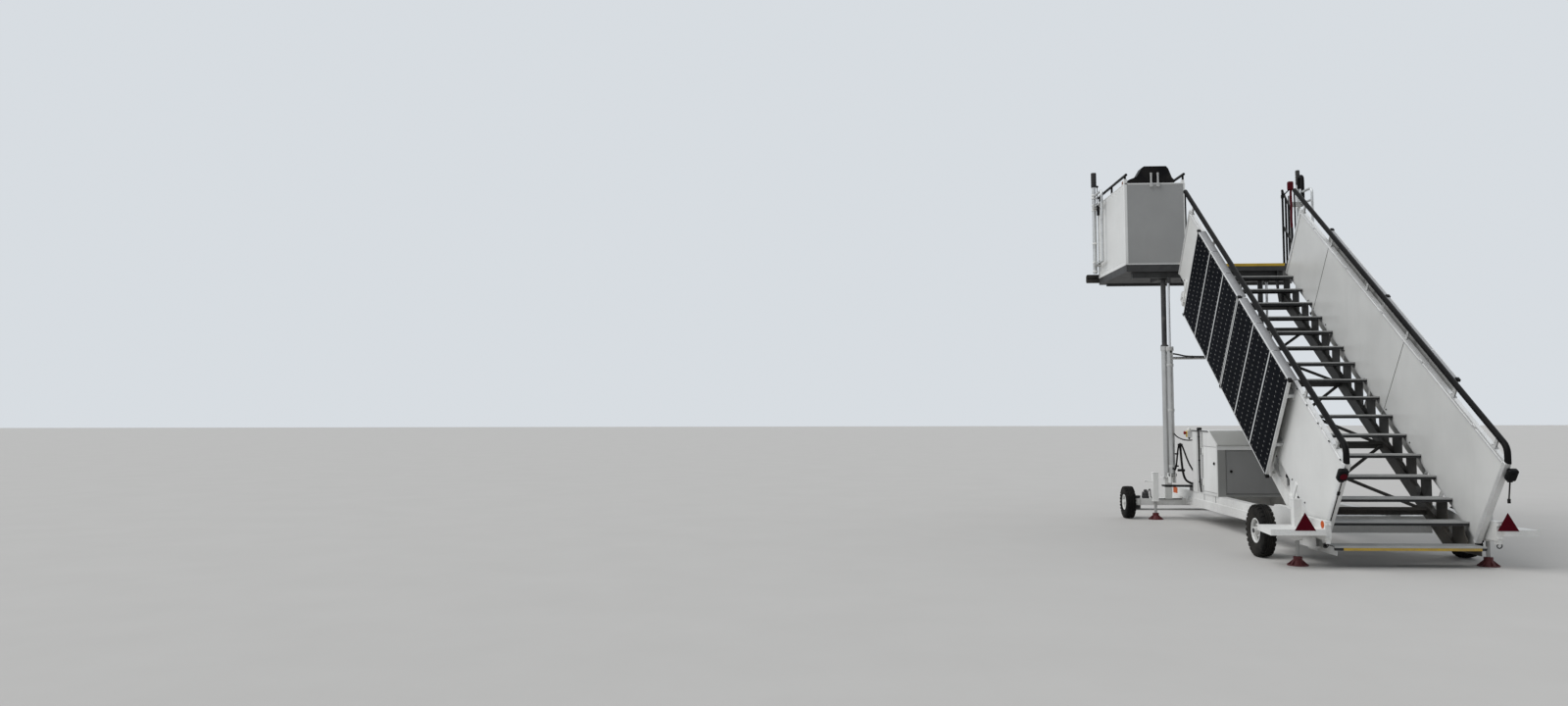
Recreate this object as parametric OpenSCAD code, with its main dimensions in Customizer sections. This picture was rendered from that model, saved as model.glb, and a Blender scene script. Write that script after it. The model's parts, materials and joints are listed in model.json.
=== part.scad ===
/* [Flight of steps] */
// Height of one step
riser = 200; // [185:1:215]
// Depth from one nosing to the next
going = 286; // [270:1:300]
// Number of treads below the platform
tread_count = 16; // [14:1:17]
// Length of a tread between the balustrades
tread_w = 1370; // [1200:5:1450]
// Depth of a tread plate
tread_d = 252; // [220:1:260]
// Sheet thickness of the folded treads
tread_t = 5; // [4:0.5:8]
// Height of a tread's front lip
lip_h = 30; // [24:1:45]
// Width of a stringer tube
stringer_w = 60; // [50:1:70]
// Depth of a stringer tube
stringer_h = 130; // [110:1:140]
// Depth of the stringer's top below the nosing line
stringer_drop = 285; // [270:1:300]

/* [Balustrades and handrails] */
// Thickness of a balustrade panel
panel_t = 24; // [15:1:30]
// Gap between tread ends and panel
panel_gap = 4; // [2:1:6]
// Height of the panel above the nosing line, square to the slope
panel_h = 800; // [700:5:850]
// Depth of the panel below the nosing line, square to the slope
panel_drop = 60; // [40:1:80]
// Width of the aluminium edge frame
edge_w = 45; // [35:1:60]
// Where the balustrade starts, along the slope
panel_start = 185; // [150:5:220]
// What the balustrade stops short of the platform's edge
panel_stop = 150; // [140:5:200]
// Radius of the handrail tube
rail_r = 20; // [17:1:26]
// Height of the handrail above the nosing line, square to the slope
rail_h = 960; // [900:5:1000]

/* [Solar arrays] */
// Width of one solar module along the slope
module_w = 545; // [500:5:560]
// Length of one solar module, square to the slope
module_l = 1190; // [1100:5:1220]
// Thickness of a solar module
module_t = 30; // [20:1:40]
// Number of modules on each side
module_count = 6; // [4:1:6]
// Where the array starts, along the slope
array_start = 1400; // [1350:5:1450]
// Height of the array's top edge above the nosing line
array_top = 915; // [880:5:930]
// Gap between panel and solar module
array_gap = 75; // [60:1:90]

/* [Platform] */
// Length of the platform
deck_l = 1650; // [1500:10:1800]
// Reach of the platform to the left of the flight's middle
deck_left = 1390; // [1300:5:1450]
// Reach of the platform's front to the right of the flight's middle
deck_right = 1420; // [1300:5:1450]
// Depth of the platform's frame
deck_h = 95; // [80:1:110]
// Height of the platform's walls
wall_h = 1100; // [1000:10:1150]
// Thickness of the platform's walls
wall_t = 35; // [25:1:45]
// Width of the rear wall beside the flight's head
rear_wall_w = 800; // [720:5:850]
// Depth of the rubber bumper at the front
bumper_d = 110; // [80:5:140]
// Height of the rubber bumper
bumper_h = 120; // [100:5:140]

/* [Lift] */
// Radius of the sliding inner mast
mast_r = 34; // [28:1:38]
// Wall of the fixed outer mast
mast_wall = 9; // [7:1:12]
// Radius of the lift cylinder's rod
rod_r = 17; // [14:1:20]
// Radius of the lift cylinder's barrel
barrel_r = 38; // [32:1:42]
// Distance between the two masts
mast_span = 1290; // [1200:5:1340]
// Height of the top of the outer masts
mast_top = 2310; // [2200:5:2400]
// How far the platform can sink
lift_down = 400; // [300:10:420]

/* [Chassis] */
// Height of the main beams
beam_h = 190; // [160:5:200]
// Width of the main beams
beam_w = 110; // [90:5:120]
// Height of the main beams' underside above the ground
beam_z = 200; // [190:5:230]
// Distance between the outer faces of the main beams
frame_w = 1120; // [1000:10:1160]
// Length of the cabinet
cabinet_l = 980; // [900:10:1000]
// Height of the cabinet
cabinet_h = 790; // [720:10:820]
// Sheet thickness of the cabinet
cabinet_t = 12; // [8:1:16]

/* [Wheels] */
// Radius of a rear tyre
rear_r = 260; // [245:1:280]
// Width of a rear tyre
rear_w = 130; // [120:1:150]
// Gap between a rear tyre and its arm
wheel_gap = 55; // [40:1:70]
// Radius of a front tyre
front_r = 215; // [200:1:225]
// Width of a front tyre
front_w = 120; // [110:1:140]
// Distance between the front wheels
front_track = 2620; // [2520:5:2670]
// Distance between the axles
wheelbase = 3980; // [3800:10:4050]

/* [Jacks] */
// Radius of a jack's foot
foot_r = 95; // [80:1:110]
// Height of the cone of a jack's foot
foot_h = 84; // [70:1:88]
// Radius of a jack's spindle
spindle_r = 18; // [14:1:22]
// Wall of a jack's tube
jack_wall = 8; // [6:1:10]
// How far a jack can be wound up
jack_lift = 150; // [100:10:160]

/* [Hidden] */

$fn = 48;
LEFT = 1;
RIGHT = -1;
SIDES = [LEFT, RIGHT];
// Clearance of a sliding fit
fit = 0.5;
// Clearance of a pin or a bearing
pin_fit = 0.05;
// Seat gap between two pieces of different bodies
seat = 0.3;

// The working frame has its zero under the lowest nosing, in the middle of the flight
slope = atan(riser / going);
pitch_l = sqrt(riser * riser + going * going);
flight_l = tread_count * pitch_l;
deck_x = tread_count * going;
deck_z = (tread_count + 1) * riser;
deck_front = deck_x + deck_l;

panel_in = tread_w / 2 + panel_gap;
panel_out = panel_in + panel_t;
panel_end = flight_l - panel_stop;
stringer_y = tread_w / 2 - stringer_w / 2 - 5;
stringer_mid = stringer_drop + stringer_h / 2;

// Head pivot of the flight, on the stringers' middle line
pivot_back = 60;
pivot_x = deck_x - pivot_back;
pivot_z = riser + pivot_x * riser / going - stringer_mid / cos(slope);
pivot_r = 20;
lug_t = 20;
lug_gap = 5;
// The pivot's place along the slope
pivot_s = pivot_x * cos(slope) + (pivot_z - riser) * sin(slope);
stringer_end = pivot_s + 80;

// The flight's foot rolls on a ledge beside the chassis' arms
roller_x = 600;
roller_z = 200;
roller_r = 35;
roller_w = 34;
ledge_z = roller_z - roller_r - seat;
ledge_t = 20;
ledge_from = 300;
ledge_to = 810;
bracket_s = [900, 1500, 2700, 3900, 5100];
foot_cut_z = 112;

chassis_y = 70;
beam_out = frame_w / 2;
beam_top = beam_z + beam_h;
cross_x = 1180;
cross_l = 140;
front_x = 4660;
rear_axle_x = 820;
tow_eye_r = 25;
// Radius of a rim as a share of its tyre's
rim_share = 0.46;
front_axle_x = rear_axle_x + wheelbase;
front_wheel_y = front_track / 2;
kingpin_y = front_wheel_y - front_w / 2 - 65;
kingpin_r = 18;
stub_r = 18;
rear_stub_r = 22;
eye_low = 178;
eye_high = 268;
yoke_z = 125;
yoke_h = 40;
rod_z = 95;
rod_h = 24;
arm_len = 150;
arm_pin_r = 10;
bar_x = front_axle_x + 260;
bar_l = 1000;
bar_z = yoke_z + yoke_h / 2;

mast_mid_y = 210;
mast_x = 4780;
barrel_x = 4625;
// The guides stand on posts, and the lift cylinders beside them hang on pins in clevises
mast_base_z = 560;
mast_post = 45;
mast_foot = 75;
mast_foot_t = 12;
mast_brace_z = 2150;
mast_brace_r = 18;
barrel_off = -26;
eye_z = 590;
eye_r = 26;
eye_w = 50;
eye_pin_r = 12;
clevis_t = 10;
barrel_z = 612;
barrel_floor = 30;
rod_z_low = barrel_z + barrel_floor + lift_down + 15;
// Beams under the platform
under_h = 80;
under_w = 80;
under_l = 640;
// The front cross beam is this much shallower
under_rise = 50;
head_z = deck_z - deck_h - under_h;

front_jack_y = 985;
front_jack_box = 72;
rear_jack_x = 200;
front_jack_x = 4650;
jack_r = spindle_r + fit + jack_wall;
jack_box = 72;
jack_top = 620;
// The foot's collar over its cone
collar_r = 40;
collar_z = 52;
foot_t = 9;
jack_low = foot_h + jack_lift + 5;

guard_l = 500;
guard_r = 18;
guard_z = [200, 1060];
guard_top = 1230;
guard_bend = 70;
guard_off = [60, 110];
// Half the height and width of a guard's sleeve
guard_sleeve = 32;
column_l = 40;
column_w = 40;
column_in = 20;
function guard_y(side) = side > 0 ? deck_left + guard_off[0] : -deck_right - guard_off[1];

// The lower part of the cabinet in front keeps clear of the lift cylinders
cabinet_gap = 27;
nose_l = 160;
nose_h = cabinet_h / 10;
cabinet_x = barrel_x - barrel_r - cabinet_gap - nose_l - cabinet_l;
cabinet_w = frame_w;
cabinet_z = beam_top;
lid_run = 300;
lid_drop = 160;
door_w = 900;
door_h = 520;
door_gap = 5;
door_z = cabinet_z + 40;
side_door_x = cabinet_x + 30;
side_door_l = 510;
side_door_h = 560;
// Hinges: a pin between two bosses on the cabinet and a sleeve on the door
hinge_out = 10;
hinge_r = 8;
hinge_pin_r = 4;
hinge_h = 60;
hinge_boss = 16;
hinge_leaf = 34;
hinge_leaf_t = 3;
rear_hinge_up = [90, 370];
side_hinge_up = [80, 470];
battery_l = 500;
battery_w = 700;
battery_h = 368;
// A groove beside the side door
groove_gap = 42;
groove_l = 220;
groove_d = 6;
groove_x = side_door_x + side_door_l + groove_gap;
door_hinge_y = chassis_y - door_w / 2 - door_gap / 2;
side_hinge_x = side_door_x + side_door_l + door_gap / 2;

// The arms beside the flight's foot
arm_in = panel_out + 22;
arm_w = 55;
arm_out = arm_in + arm_w;
arm_z = 262;
arm_back = -70;
arm_tops = [[arm_back, 438], [560, 438], [700, 470], [860, 492], [1140, 492], [1250, 440], [1250, 300], [1180, arm_z]];
hook_z = 232;
hook_l = 60;
hook_w = 35;
shelf_z = 310;
shelf_t = 55;
shelf_from = -100;
shelf_to = 380;
shelf_reach = [450, 250];
shelf_slant = 50;
rear_wheel_y = arm_out + wheel_gap + rear_w / 2 + chassis_y;
rear_jack_y = arm_out + chassis_y + 10;
// The main beams carry a narrower band on top and run on to the front
beam_front = 5350;
beam_step_z = 300;
beam_step = 12;
triangle_w = 190;
triangle_t = 4;
triangle_y = 901;
triangle_mid = 79;
triangle_lap = 10;
marker_l = 180;
marker_h = 76;
marker_r = 34;
marker_x = -15;
marker_z = 403;

// A handrail bends down at its foot and stands upright on the end post
rail_y = panel_in + panel_t / 2;
rail_bend = 130;
rail_bend_n = rail_h - rail_bend;
frame_top = panel_h + edge_w;
rail_foot_l = (rail_bend_n + rail_bend * sin(slope) - frame_top) / cos(slope);
rail_bend_s = panel_start - edge_w / 2 + rail_bend * cos(slope) + rail_foot_l * sin(slope);
rail_end = flight_l + 220;
// Hollows along the sides of the edge frames
edge_groove = 7;
lower_rail = 20;
// The lower end posts reach this far in from the rail's line
end_post_in = 34;
array_split = 3;
array_split_gap = 30;
clamp_n = [100, 700];
clamp_h = 40;
strap_l = 60;
strap_w = 90;
strap_h = 120;
strap_n = 690;
strap_out = 34;
brace_s = [900, 2000, 3200, 4400, 5000];
brace_r = 17;
brace_in = 20;
// The hood over the controls, as seen from behind: reach from the platform's left edge, and height
hood_l = 190;
hood_t = 12;
hood_shape = [[-55, 0], [-55, 55], [-165, 100], [-236, 220], [-266, 240], [-559, 240], [-588, 206],
              [-634, 85], [-663, 54], [-663, 0]];
return_l = 500;
knee_z = 500;
top_rail_z = wall_h + 120;
side_rail_z = wall_h - 120;
rail_post_r = 14;
guard_post_h = wall_h + 480;
guard_post_r = 30;
column_h = wall_h + 90;

// The strap boxes or the handrails' bends, the bumper and the right guard's sleeve bound the whole
low_x = min(rail_bend_s * cos(slope) - rail_bend_n * sin(slope) - rail_bend - rail_r,
    (panel_start - edge_w - strap_l) * cos(slope) - (strap_n + strap_h) * sin(slope));
high_x = deck_front + bumper_d;
left_y = deck_left + 170;
right_y = deck_right + guard_off[1] + guard_sleeve;
mid_x = (low_x + high_x) / 2;
mid_y = (left_y - right_y) / 2;

module centred() { translate([-mid_x, -mid_y, 0]) children(); }

// Local x runs up the slope from the lowest nosing and z stands square to it
module on_slope() { translate([0, 0, riser]) rotate([0, -slope, 0]) children(); }

// A rod from one point to another
module rod(a, b, r)
{
    d = b - a;
    l = norm(d);
    translate(a) rotate([0, acos(d[2] / l), atan2(d[1], d[0])]) cylinder(h = l, r = r);
}

// A box given by its low corner and its high corner
module box(a, b) { translate(a) cube(b - a); }

module tube(h, r, wall)
{
    difference() {
        cylinder(h = h, r = r);
        translate([0, 0, -1]) cylinder(h = h + 2, r = r - wall);
    }
}

// A cylinder along y from one y value to another
module span_cylinder(x, z, y1, y2, r)
{
    translate([x, max(y1, y2), z]) rotate([90, 0, 0]) cylinder(h = abs(y2 - y1), r = r);
}

module across(l, r) { translate([0, l / 2, 0]) rotate([90, 0, 0]) cylinder(h = l, r = r); }

// Low and high corner of a box whose y values may come in either order
module span_box(a, b)
{
    box([min(a[0], b[0]), min(a[1], b[1]), min(a[2], b[2])], [max(a[0], b[0]), max(a[1], b[1]), max(a[2], b[2])]);
}

module jack_holes()
{
    for (side = SIDES) {
        translate([rear_jack_x, chassis_y + side * rear_jack_y, 0]) cylinder(h = jack_top - 10, r = spindle_r + fit);
        translate([front_jack_x, chassis_y + side * front_jack_y, 0]) cylinder(h = jack_top - 10, r = spindle_r + fit);
    }
}

// An arm beside the flight's foot, arched over the axle
module arm_side()
{
    polygon(concat([[arm_back, arm_z]], arm_tops));
}

module chassis_frame() color("white") difference()
{
    union() {
        for (side = SIDES) {
            beam_y = chassis_y + side * (beam_out - beam_w / 2);
            box([cross_x, beam_y - beam_w / 2, beam_z], [beam_front, beam_y + beam_w / 2, beam_step_z]);
            span_box([cross_x, chassis_y + side * (beam_out - beam_w), beam_step_z - 1],
                [beam_front, chassis_y + side * (beam_out - beam_step), beam_top]);
            translate([0, side * (arm_in + arm_w / 2) + arm_w / 2, 0]) rotate([90, 0, 0]) linear_extrude(arm_w) arm_side();
            // Hook under the arm's end
            span_box([arm_back, side * (arm_in + 10), hook_z], [arm_back + hook_l, side * (arm_in + 10 + hook_w), arm_z + 1]);
            // Ledge for the flight's rollers
            span_box([ledge_from, side * (panel_in + 1), ledge_z - ledge_t], [ledge_to, side * arm_in, ledge_z]);
            span_box([ledge_from, side * (arm_in - 8), ledge_z - ledge_t], [ledge_to, side * (arm_in + 1), arm_z + 40]);
            // Jack housings
            translate([rear_jack_x - jack_box / 2, chassis_y + side * rear_jack_y - jack_box / 2, jack_low])
                cube([jack_box, jack_box, jack_top - jack_low]);
            span_box([rear_jack_x - 30, side * (arm_out - 1), arm_z + 10],
                [rear_jack_x + 30, chassis_y + side * rear_jack_y, arm_z + 90]);
            translate([front_jack_x - front_jack_box / 2, chassis_y + side * front_jack_y - front_jack_box / 2, jack_low])
                cube([front_jack_box, front_jack_box, jack_top - jack_low]);
            span_box([front_jack_x, chassis_y + side * front_jack_y - 20, jack_low],
                [front_axle_x, chassis_y + side * front_jack_y + 20, eye_high]);
            // Eyes of the kingpins
            translate([front_axle_x, chassis_y + side * kingpin_y, eye_low]) cylinder(h = eye_high - eye_low, r = 42);
        }
        box([cross_x, -arm_out, beam_z], [cross_x + cross_l, arm_out, beam_top - 20]);
        box([front_x - 200, chassis_y - beam_out + beam_step, beam_z], [front_x, chassis_y + beam_out - beam_step, beam_top]);
        // Outrigger beam between the kingpins
        box([front_axle_x - 45, chassis_y - kingpin_y + 30, eye_low], [front_axle_x + 45, chassis_y + kingpin_y - 30, eye_high]);
        box([front_x - 100, chassis_y - 200, eye_low + 20], [front_axle_x, chassis_y + 200, eye_high]);
        mast_feet();
        // Swivel pin of the drawbar's yoke
        translate([front_axle_x, chassis_y, yoke_z - 8]) cylinder(h = eye_low - yoke_z + 10, r = pivot_r);
    }
    jack_holes();
    for (side = SIDES)
        translate([front_axle_x, chassis_y + side * kingpin_y, 0]) cylinder(h = 600, r = kingpin_r + pin_fit);
}

// Post and plate under each guide, with the clevis and pin of the lift cylinder behind it
module mast_feet()
{
    mast_places() {
        box([mast_x - mast_post, -mast_post, eye_high - 5], [mast_x + mast_post, mast_post, mast_base_z]);
        box([mast_x - mast_foot, -mast_foot, mast_base_z - mast_foot_t], [mast_x + mast_foot, mast_foot, mast_base_z]);
        for (e = [-1, 1]) {
            span_box([barrel_x - 35, barrel_off + e * (eye_w / 2 + 2), eye_z - 110],
                [mast_x - mast_post + 5, barrel_off + e * (eye_w / 2 + 2 + clevis_t), mast_base_z - 1]);
            span_box([barrel_x - 35, barrel_off + e * (eye_w / 2 + 2), mast_base_z - 2],
                [mast_x - mast_r - fit - mast_wall - 3, barrel_off + e * (eye_w / 2 + 2 + clevis_t), barrel_z - 3]);
        }
        translate([0, barrel_off, 0]) span_cylinder(barrel_x, eye_z, -eye_w / 2 - clevis_t - 8, eye_w / 2 + clevis_t + 8, eye_pin_r);
    }
}

module rear_stubs() color("dimgray")
{
    for (side = SIDES) {
        translate([rear_axle_x, chassis_y + side * (rear_wheel_y), rear_r])
            across(rear_w + 30, rear_stub_r);
        span_box([rear_axle_x - 40, side * arm_out, rear_r - 12],
            [rear_axle_x + 40, chassis_y + side * (rear_wheel_y - rear_w / 2 - 6), rear_r + 48]);
    }
}

module shelf_shape(reach)
{
    polygon([[shelf_from, 0], [shelf_to, 0], [shelf_to, reach], [shelf_from, reach + shelf_slant]]);
}

module rear_shelves() color("white") difference()
{
    for (i = [0, 1])
        translate([0, SIDES[i] * arm_out, shelf_z]) mirror([0, i, 0]) linear_extrude(shelf_t) shelf_shape(shelf_reach[i]);
    for (side = SIDES) {
        translate([rear_jack_x - jack_box / 2, chassis_y + side * rear_jack_y - jack_box / 2, 0]) cube([jack_box, jack_box, 700]);
        span_box([rear_jack_x - 30, side * (arm_out - 1), arm_z + 10], [rear_jack_x + 30, chassis_y + side * rear_jack_y, arm_z + 90]);
    }
}

module triangle_plate(w, t)
{
    rotate([90, 0, 90]) linear_extrude(t) polygon([[-w / 2, 0], [w / 2, 0], [0, w * 0.87]]);
}

module reflectors()
{
    color("firebrick") for (side = SIDES)
        translate([shelf_from - triangle_t, triangle_mid + side * triangle_y, shelf_z + shelf_t - triangle_lap])
            triangle_plate(triangle_w, triangle_t);
    color("orange") for (side = SIDES) {
        translate([marker_x, side * (arm_out + triangle_t / 2), marker_z]) across(triangle_t, marker_r);
        span_box([beam_front - marker_l - 10, chassis_y + side * (beam_out - beam_step), beam_step_z + 8],
            [beam_front - 10, chassis_y + side * (beam_out - beam_step + triangle_t), beam_step_z + 8 + marker_h]);
    }
}

module mast_places() { for (side = SIDES) translate([0, mast_mid_y + side * mast_span / 2, 0]) children(); }

module outer_masts() color("lightgray")
{
    mast_places() {
        translate([mast_x, 0, mast_base_z]) tube(mast_top - mast_base_z, mast_r + fit + mast_wall, mast_wall);
        translate([mast_x, 0, mast_top - 60]) tube(60, mast_r + fit + mast_wall + 10, mast_wall + 10);
    }
    // Brace between the two guides
    span_cylinder(mast_x, mast_brace_z, mast_mid_y - mast_span / 2 + mast_r + 4, mast_mid_y + mast_span / 2 - mast_r - 4, mast_brace_r);
}

module lift_barrels() color("gainsboro")
{
    mast_places() translate([barrel_x, barrel_off, 0]) {
        difference() {
            union() {
                translate([0, 0, barrel_z]) cylinder(h = mast_top - 20 - barrel_z, r = barrel_r);
                translate([0, 0, eye_z]) across(eye_w, eye_r);
            }
            translate([0, 0, barrel_z + barrel_floor]) cylinder(h = mast_top, r = rod_r + fit);
            translate([0, 0, eye_z]) across(eye_w + 2, eye_pin_r + pin_fit);
        }
    }
}

module cabinet_side()
{
    polygon([[0, 0], [cabinet_l + nose_l, 0], [cabinet_l + nose_l, nose_h], [cabinet_l, nose_h], [cabinet_l, cabinet_h],
             [lid_run, cabinet_h], [0, cabinet_h - lid_drop]]);
}

module cabinet_prism(inset)
{
    translate([cabinet_x, chassis_y + cabinet_w / 2 - inset, cabinet_z]) rotate([90, 0, 0])
        linear_extrude(cabinet_w - 2 * inset) offset(delta = -inset) cabinet_side();
}

// A hinge's own frame: z along the pin, y away from the wall, x towards the door
module at_rear_hinge() { translate([cabinet_x - hinge_out, door_hinge_y, door_z]) rotate([0, 0, 90]) children(); }
module at_side_hinge()
{
    translate([side_hinge_x, chassis_y + cabinet_w / 2 + hinge_out, door_z]) mirror([1, 0, 0]) children();
}

module hinge_bosses(ups)
{
    for (z = ups) translate([0, 0, z]) {
        for (e = [-hinge_boss - 1, hinge_h + 1]) translate([0, 0, e]) {
            cylinder(h = hinge_boss, r = hinge_r);
            translate([-hinge_leaf, -hinge_out, 0]) cube([hinge_leaf, hinge_leaf_t, hinge_boss]);
        }
        translate([0, 0, -2]) cylinder(h = hinge_h + 4, r = hinge_pin_r);
    }
}

module hinge_sleeves(ups)
{
    for (z = ups) translate([0, 0, z]) difference() {
        union() {
            cylinder(h = hinge_h, r = hinge_r);
            translate([0, -hinge_out, 0]) cube([hinge_leaf, hinge_leaf_t, hinge_h]);
        }
        translate([0, 0, -1]) cylinder(h = hinge_h + 2, r = hinge_pin_r + pin_fit);
    }
}

module cabinet() color("white")
{
    difference() {
        cabinet_prism(0);
        cabinet_prism(cabinet_t);
        box([cabinet_x - 1, chassis_y - door_w / 2 - door_gap, door_z - door_gap],
            [cabinet_x + cabinet_t + 1, chassis_y + door_w / 2 + door_gap, door_z + door_h + door_gap]);
        box([side_door_x - door_gap, chassis_y + cabinet_w / 2 - cabinet_t - 1, door_z - door_gap],
            [side_door_x + side_door_l + door_gap, chassis_y + cabinet_w / 2 + 1, door_z + side_door_h + door_gap]);
        box([groove_x, chassis_y + cabinet_w / 2 - groove_d, cabinet_z - 1],
            [groove_x + groove_l, chassis_y + cabinet_w / 2 + 1, cabinet_z + cabinet_h - 12]);
    }
    at_rear_hinge() hinge_bosses(rear_hinge_up);
    at_side_hinge() hinge_bosses(side_hinge_up);
}

module battery_pack() color("dimgray")
{
    translate([cabinet_x + 120, chassis_y - battery_w / 2, cabinet_z + cabinet_t]) cube([battery_l, battery_w, battery_h]);
}

module cabinet_door() color("gray")
{
    box([cabinet_x, chassis_y - door_w / 2, door_z], [cabinet_x + cabinet_t, chassis_y + door_w / 2, door_z + door_h]);
    at_rear_hinge() hinge_sleeves(rear_hinge_up);
}

module cabinet_side_door() color("white")
{
    box([side_door_x, chassis_y + cabinet_w / 2 - cabinet_t, door_z],
        [side_door_x + side_door_l, chassis_y + cabinet_w / 2, door_z + side_door_h]);
    at_side_hinge() hinge_sleeves(side_hinge_up);
}

// Motor and valve block on the lower front part of the cabinet
module pump_unit() color("goldenrod")
{
    translate([cabinet_x + cabinet_l + nose_l / 2, chassis_y + cabinet_w / 2 - 300, cabinet_z + nose_h]) {
        translate([0, 0, 60]) across(240, 58);
        translate([-60, -110, 0]) cube([120, 220, 30]);
        translate([-50, 118, 0]) cube([100, 90, 130]);
        translate([0, 160, 120]) cylinder(h = 60, r = 20);
    }
}

module jack(x, y) color("firebrick")
{
    translate([x, y, 0]) {
        cylinder(h = foot_t, r = foot_r);
        translate([0, 0, foot_t]) cylinder(h = collar_z - foot_t, r1 = foot_r * 0.66, r2 = collar_r);
        translate([0, 0, collar_z - 1]) cylinder(h = foot_h - collar_z + 1, r = collar_r);
        cylinder(h = jack_top - jack_lift - 30, r = spindle_r);
    }
}
module jack_front_left() { jack(front_jack_x, chassis_y + LEFT * front_jack_y); }
module jack_front_right() { jack(front_jack_x, chassis_y + RIGHT * front_jack_y); }
module jack_rear_left() { jack(rear_jack_x, chassis_y + LEFT * rear_jack_y); }
module jack_rear_right() { jack(rear_jack_x, chassis_y + RIGHT * rear_jack_y); }

// The steering: a yoke under the front beam carries the drawbar and pushes the tie rod
module drawbar_yoke() color("dimgray") difference()
{
    union() {
        translate([front_axle_x, chassis_y, yoke_z]) cylinder(h = yoke_h, r = 60);
        box([front_axle_x, chassis_y - 55, yoke_z], [bar_x - 60, chassis_y + 55, yoke_z + yoke_h]);
        for (side = SIDES)
            span_box([bar_x - 62, chassis_y + side * 31, yoke_z], [bar_x + 30, chassis_y + side * 55, yoke_z + yoke_h]);
        translate([front_axle_x + arm_len, chassis_y, rod_z - 5]) cylinder(h = yoke_z - rod_z + 6, r = arm_pin_r);
        translate([bar_x, chassis_y, bar_z]) across(100, 12);
    }
    translate([front_axle_x, chassis_y, 0]) cylinder(h = 600, r = pivot_r + pin_fit);
}
module drawbar() color("dimgray") difference()
{
    translate([bar_x, chassis_y, bar_z]) {
        across(56, 22);
        box([0, -20, -18], [bar_l, 20, 18]);
        translate([bar_l + 50, 0, -12]) cylinder(h = 24, r = 60);
    }
    translate([bar_x, chassis_y, bar_z]) {
        across(60, 12 + pin_fit);
        translate([bar_l + 50, 0, -20]) cylinder(h = 40, r = tow_eye_r);
    }
}

module tie_rod() color("dimgray") difference()
{
    box([front_axle_x + arm_len - 20, chassis_y - kingpin_y - 20, rod_z], [front_axle_x + arm_len + 20, chassis_y + kingpin_y + 20, rod_z + rod_h]);
    for (y = [-kingpin_y, 0, kingpin_y])
        translate([front_axle_x + arm_len, chassis_y + y, 0]) cylinder(h = 300, r = arm_pin_r + pin_fit);
}

module knuckle(side) color("dimgray")
{
    translate([front_axle_x, chassis_y + side * kingpin_y, 0]) {
        translate([0, 0, yoke_z]) cylinder(h = eye_high + 35 - yoke_z, r = kingpin_r);
        translate([0, 0, yoke_z]) cylinder(h = eye_low - 5 - yoke_z, r = 40);
        translate([0, 0, eye_high + 5]) cylinder(h = 30, r = 40);
        span_box([-25, 0, eye_high + 5], [25, side * 58, eye_high + 30]);
        span_box([-25, 0, yoke_z + 5], [25, side * 58, eye_low - 5]);
        span_box([-25, side * 46, yoke_z + 5], [25, side * 58, eye_high + 30]);
        stub_l = front_wheel_y - kingpin_y + front_w / 2 - 50;
        translate([0, side * (50 + stub_l / 2), front_r]) across(stub_l, stub_r);
        box([0, -16, yoke_z], [arm_len + 16, 16, yoke_z + 26]);
        translate([arm_len, 0, rod_z - 5]) cylinder(h = yoke_z - rod_z + 10, r = arm_pin_r);
    }
}
module knuckle_left() { knuckle(LEFT); }
module knuckle_right() { knuckle(RIGHT); }

module tyre(r, w) color("black")
{
    rotate([90, 0, 0]) rotate_extrude($fn = 64)
        difference() {
            translate([r * rim_share, -w / 2]) square([r * (1 - rim_share), w]);
            for (e = [-1, 1]) translate([r, e * w / 2]) circle(r = w * 0.16, $fn = 4);
        }
}

module rim(r, w, bore) color("gainsboro")
{
    rotate([90, 0, 0]) difference() {
        union() {
            translate([0, 0, -w * 0.4]) tube(w * 0.8, r * rim_share, 8);
            translate([0, 0, -8]) cylinder(h = 16, r = r * rim_share - 2);
            translate([0, 0, -w / 2 - 5]) cylinder(h = w + 10, r = bore + 16);
        }
        translate([0, 0, -w]) cylinder(h = 2 * w, r = bore);
    }
}

module at_front(side) { translate([front_axle_x, chassis_y + side * front_wheel_y, front_r]) children(); }
module at_rear(side) { translate([rear_axle_x, chassis_y + side * rear_wheel_y, rear_r]) children(); }
module front_tyre_left() { at_front(LEFT) tyre(front_r, front_w); }
module front_tyre_right() { at_front(RIGHT) tyre(front_r, front_w); }
module front_rim_left() { at_front(LEFT) rim(front_r, front_w, stub_r + pin_fit); }
module front_rim_right() { at_front(RIGHT) rim(front_r, front_w, stub_r + pin_fit); }
module rear_tyre_left() { at_rear(LEFT) tyre(rear_r, rear_w); }
module rear_tyre_right() { at_rear(RIGHT) tyre(rear_r, rear_w); }
module rear_rim_left() { at_rear(LEFT) rim(rear_r, rear_w, rear_stub_r + pin_fit); }
module rear_rim_right() { at_rear(RIGHT) rim(rear_r, rear_w, rear_stub_r + pin_fit); }

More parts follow.
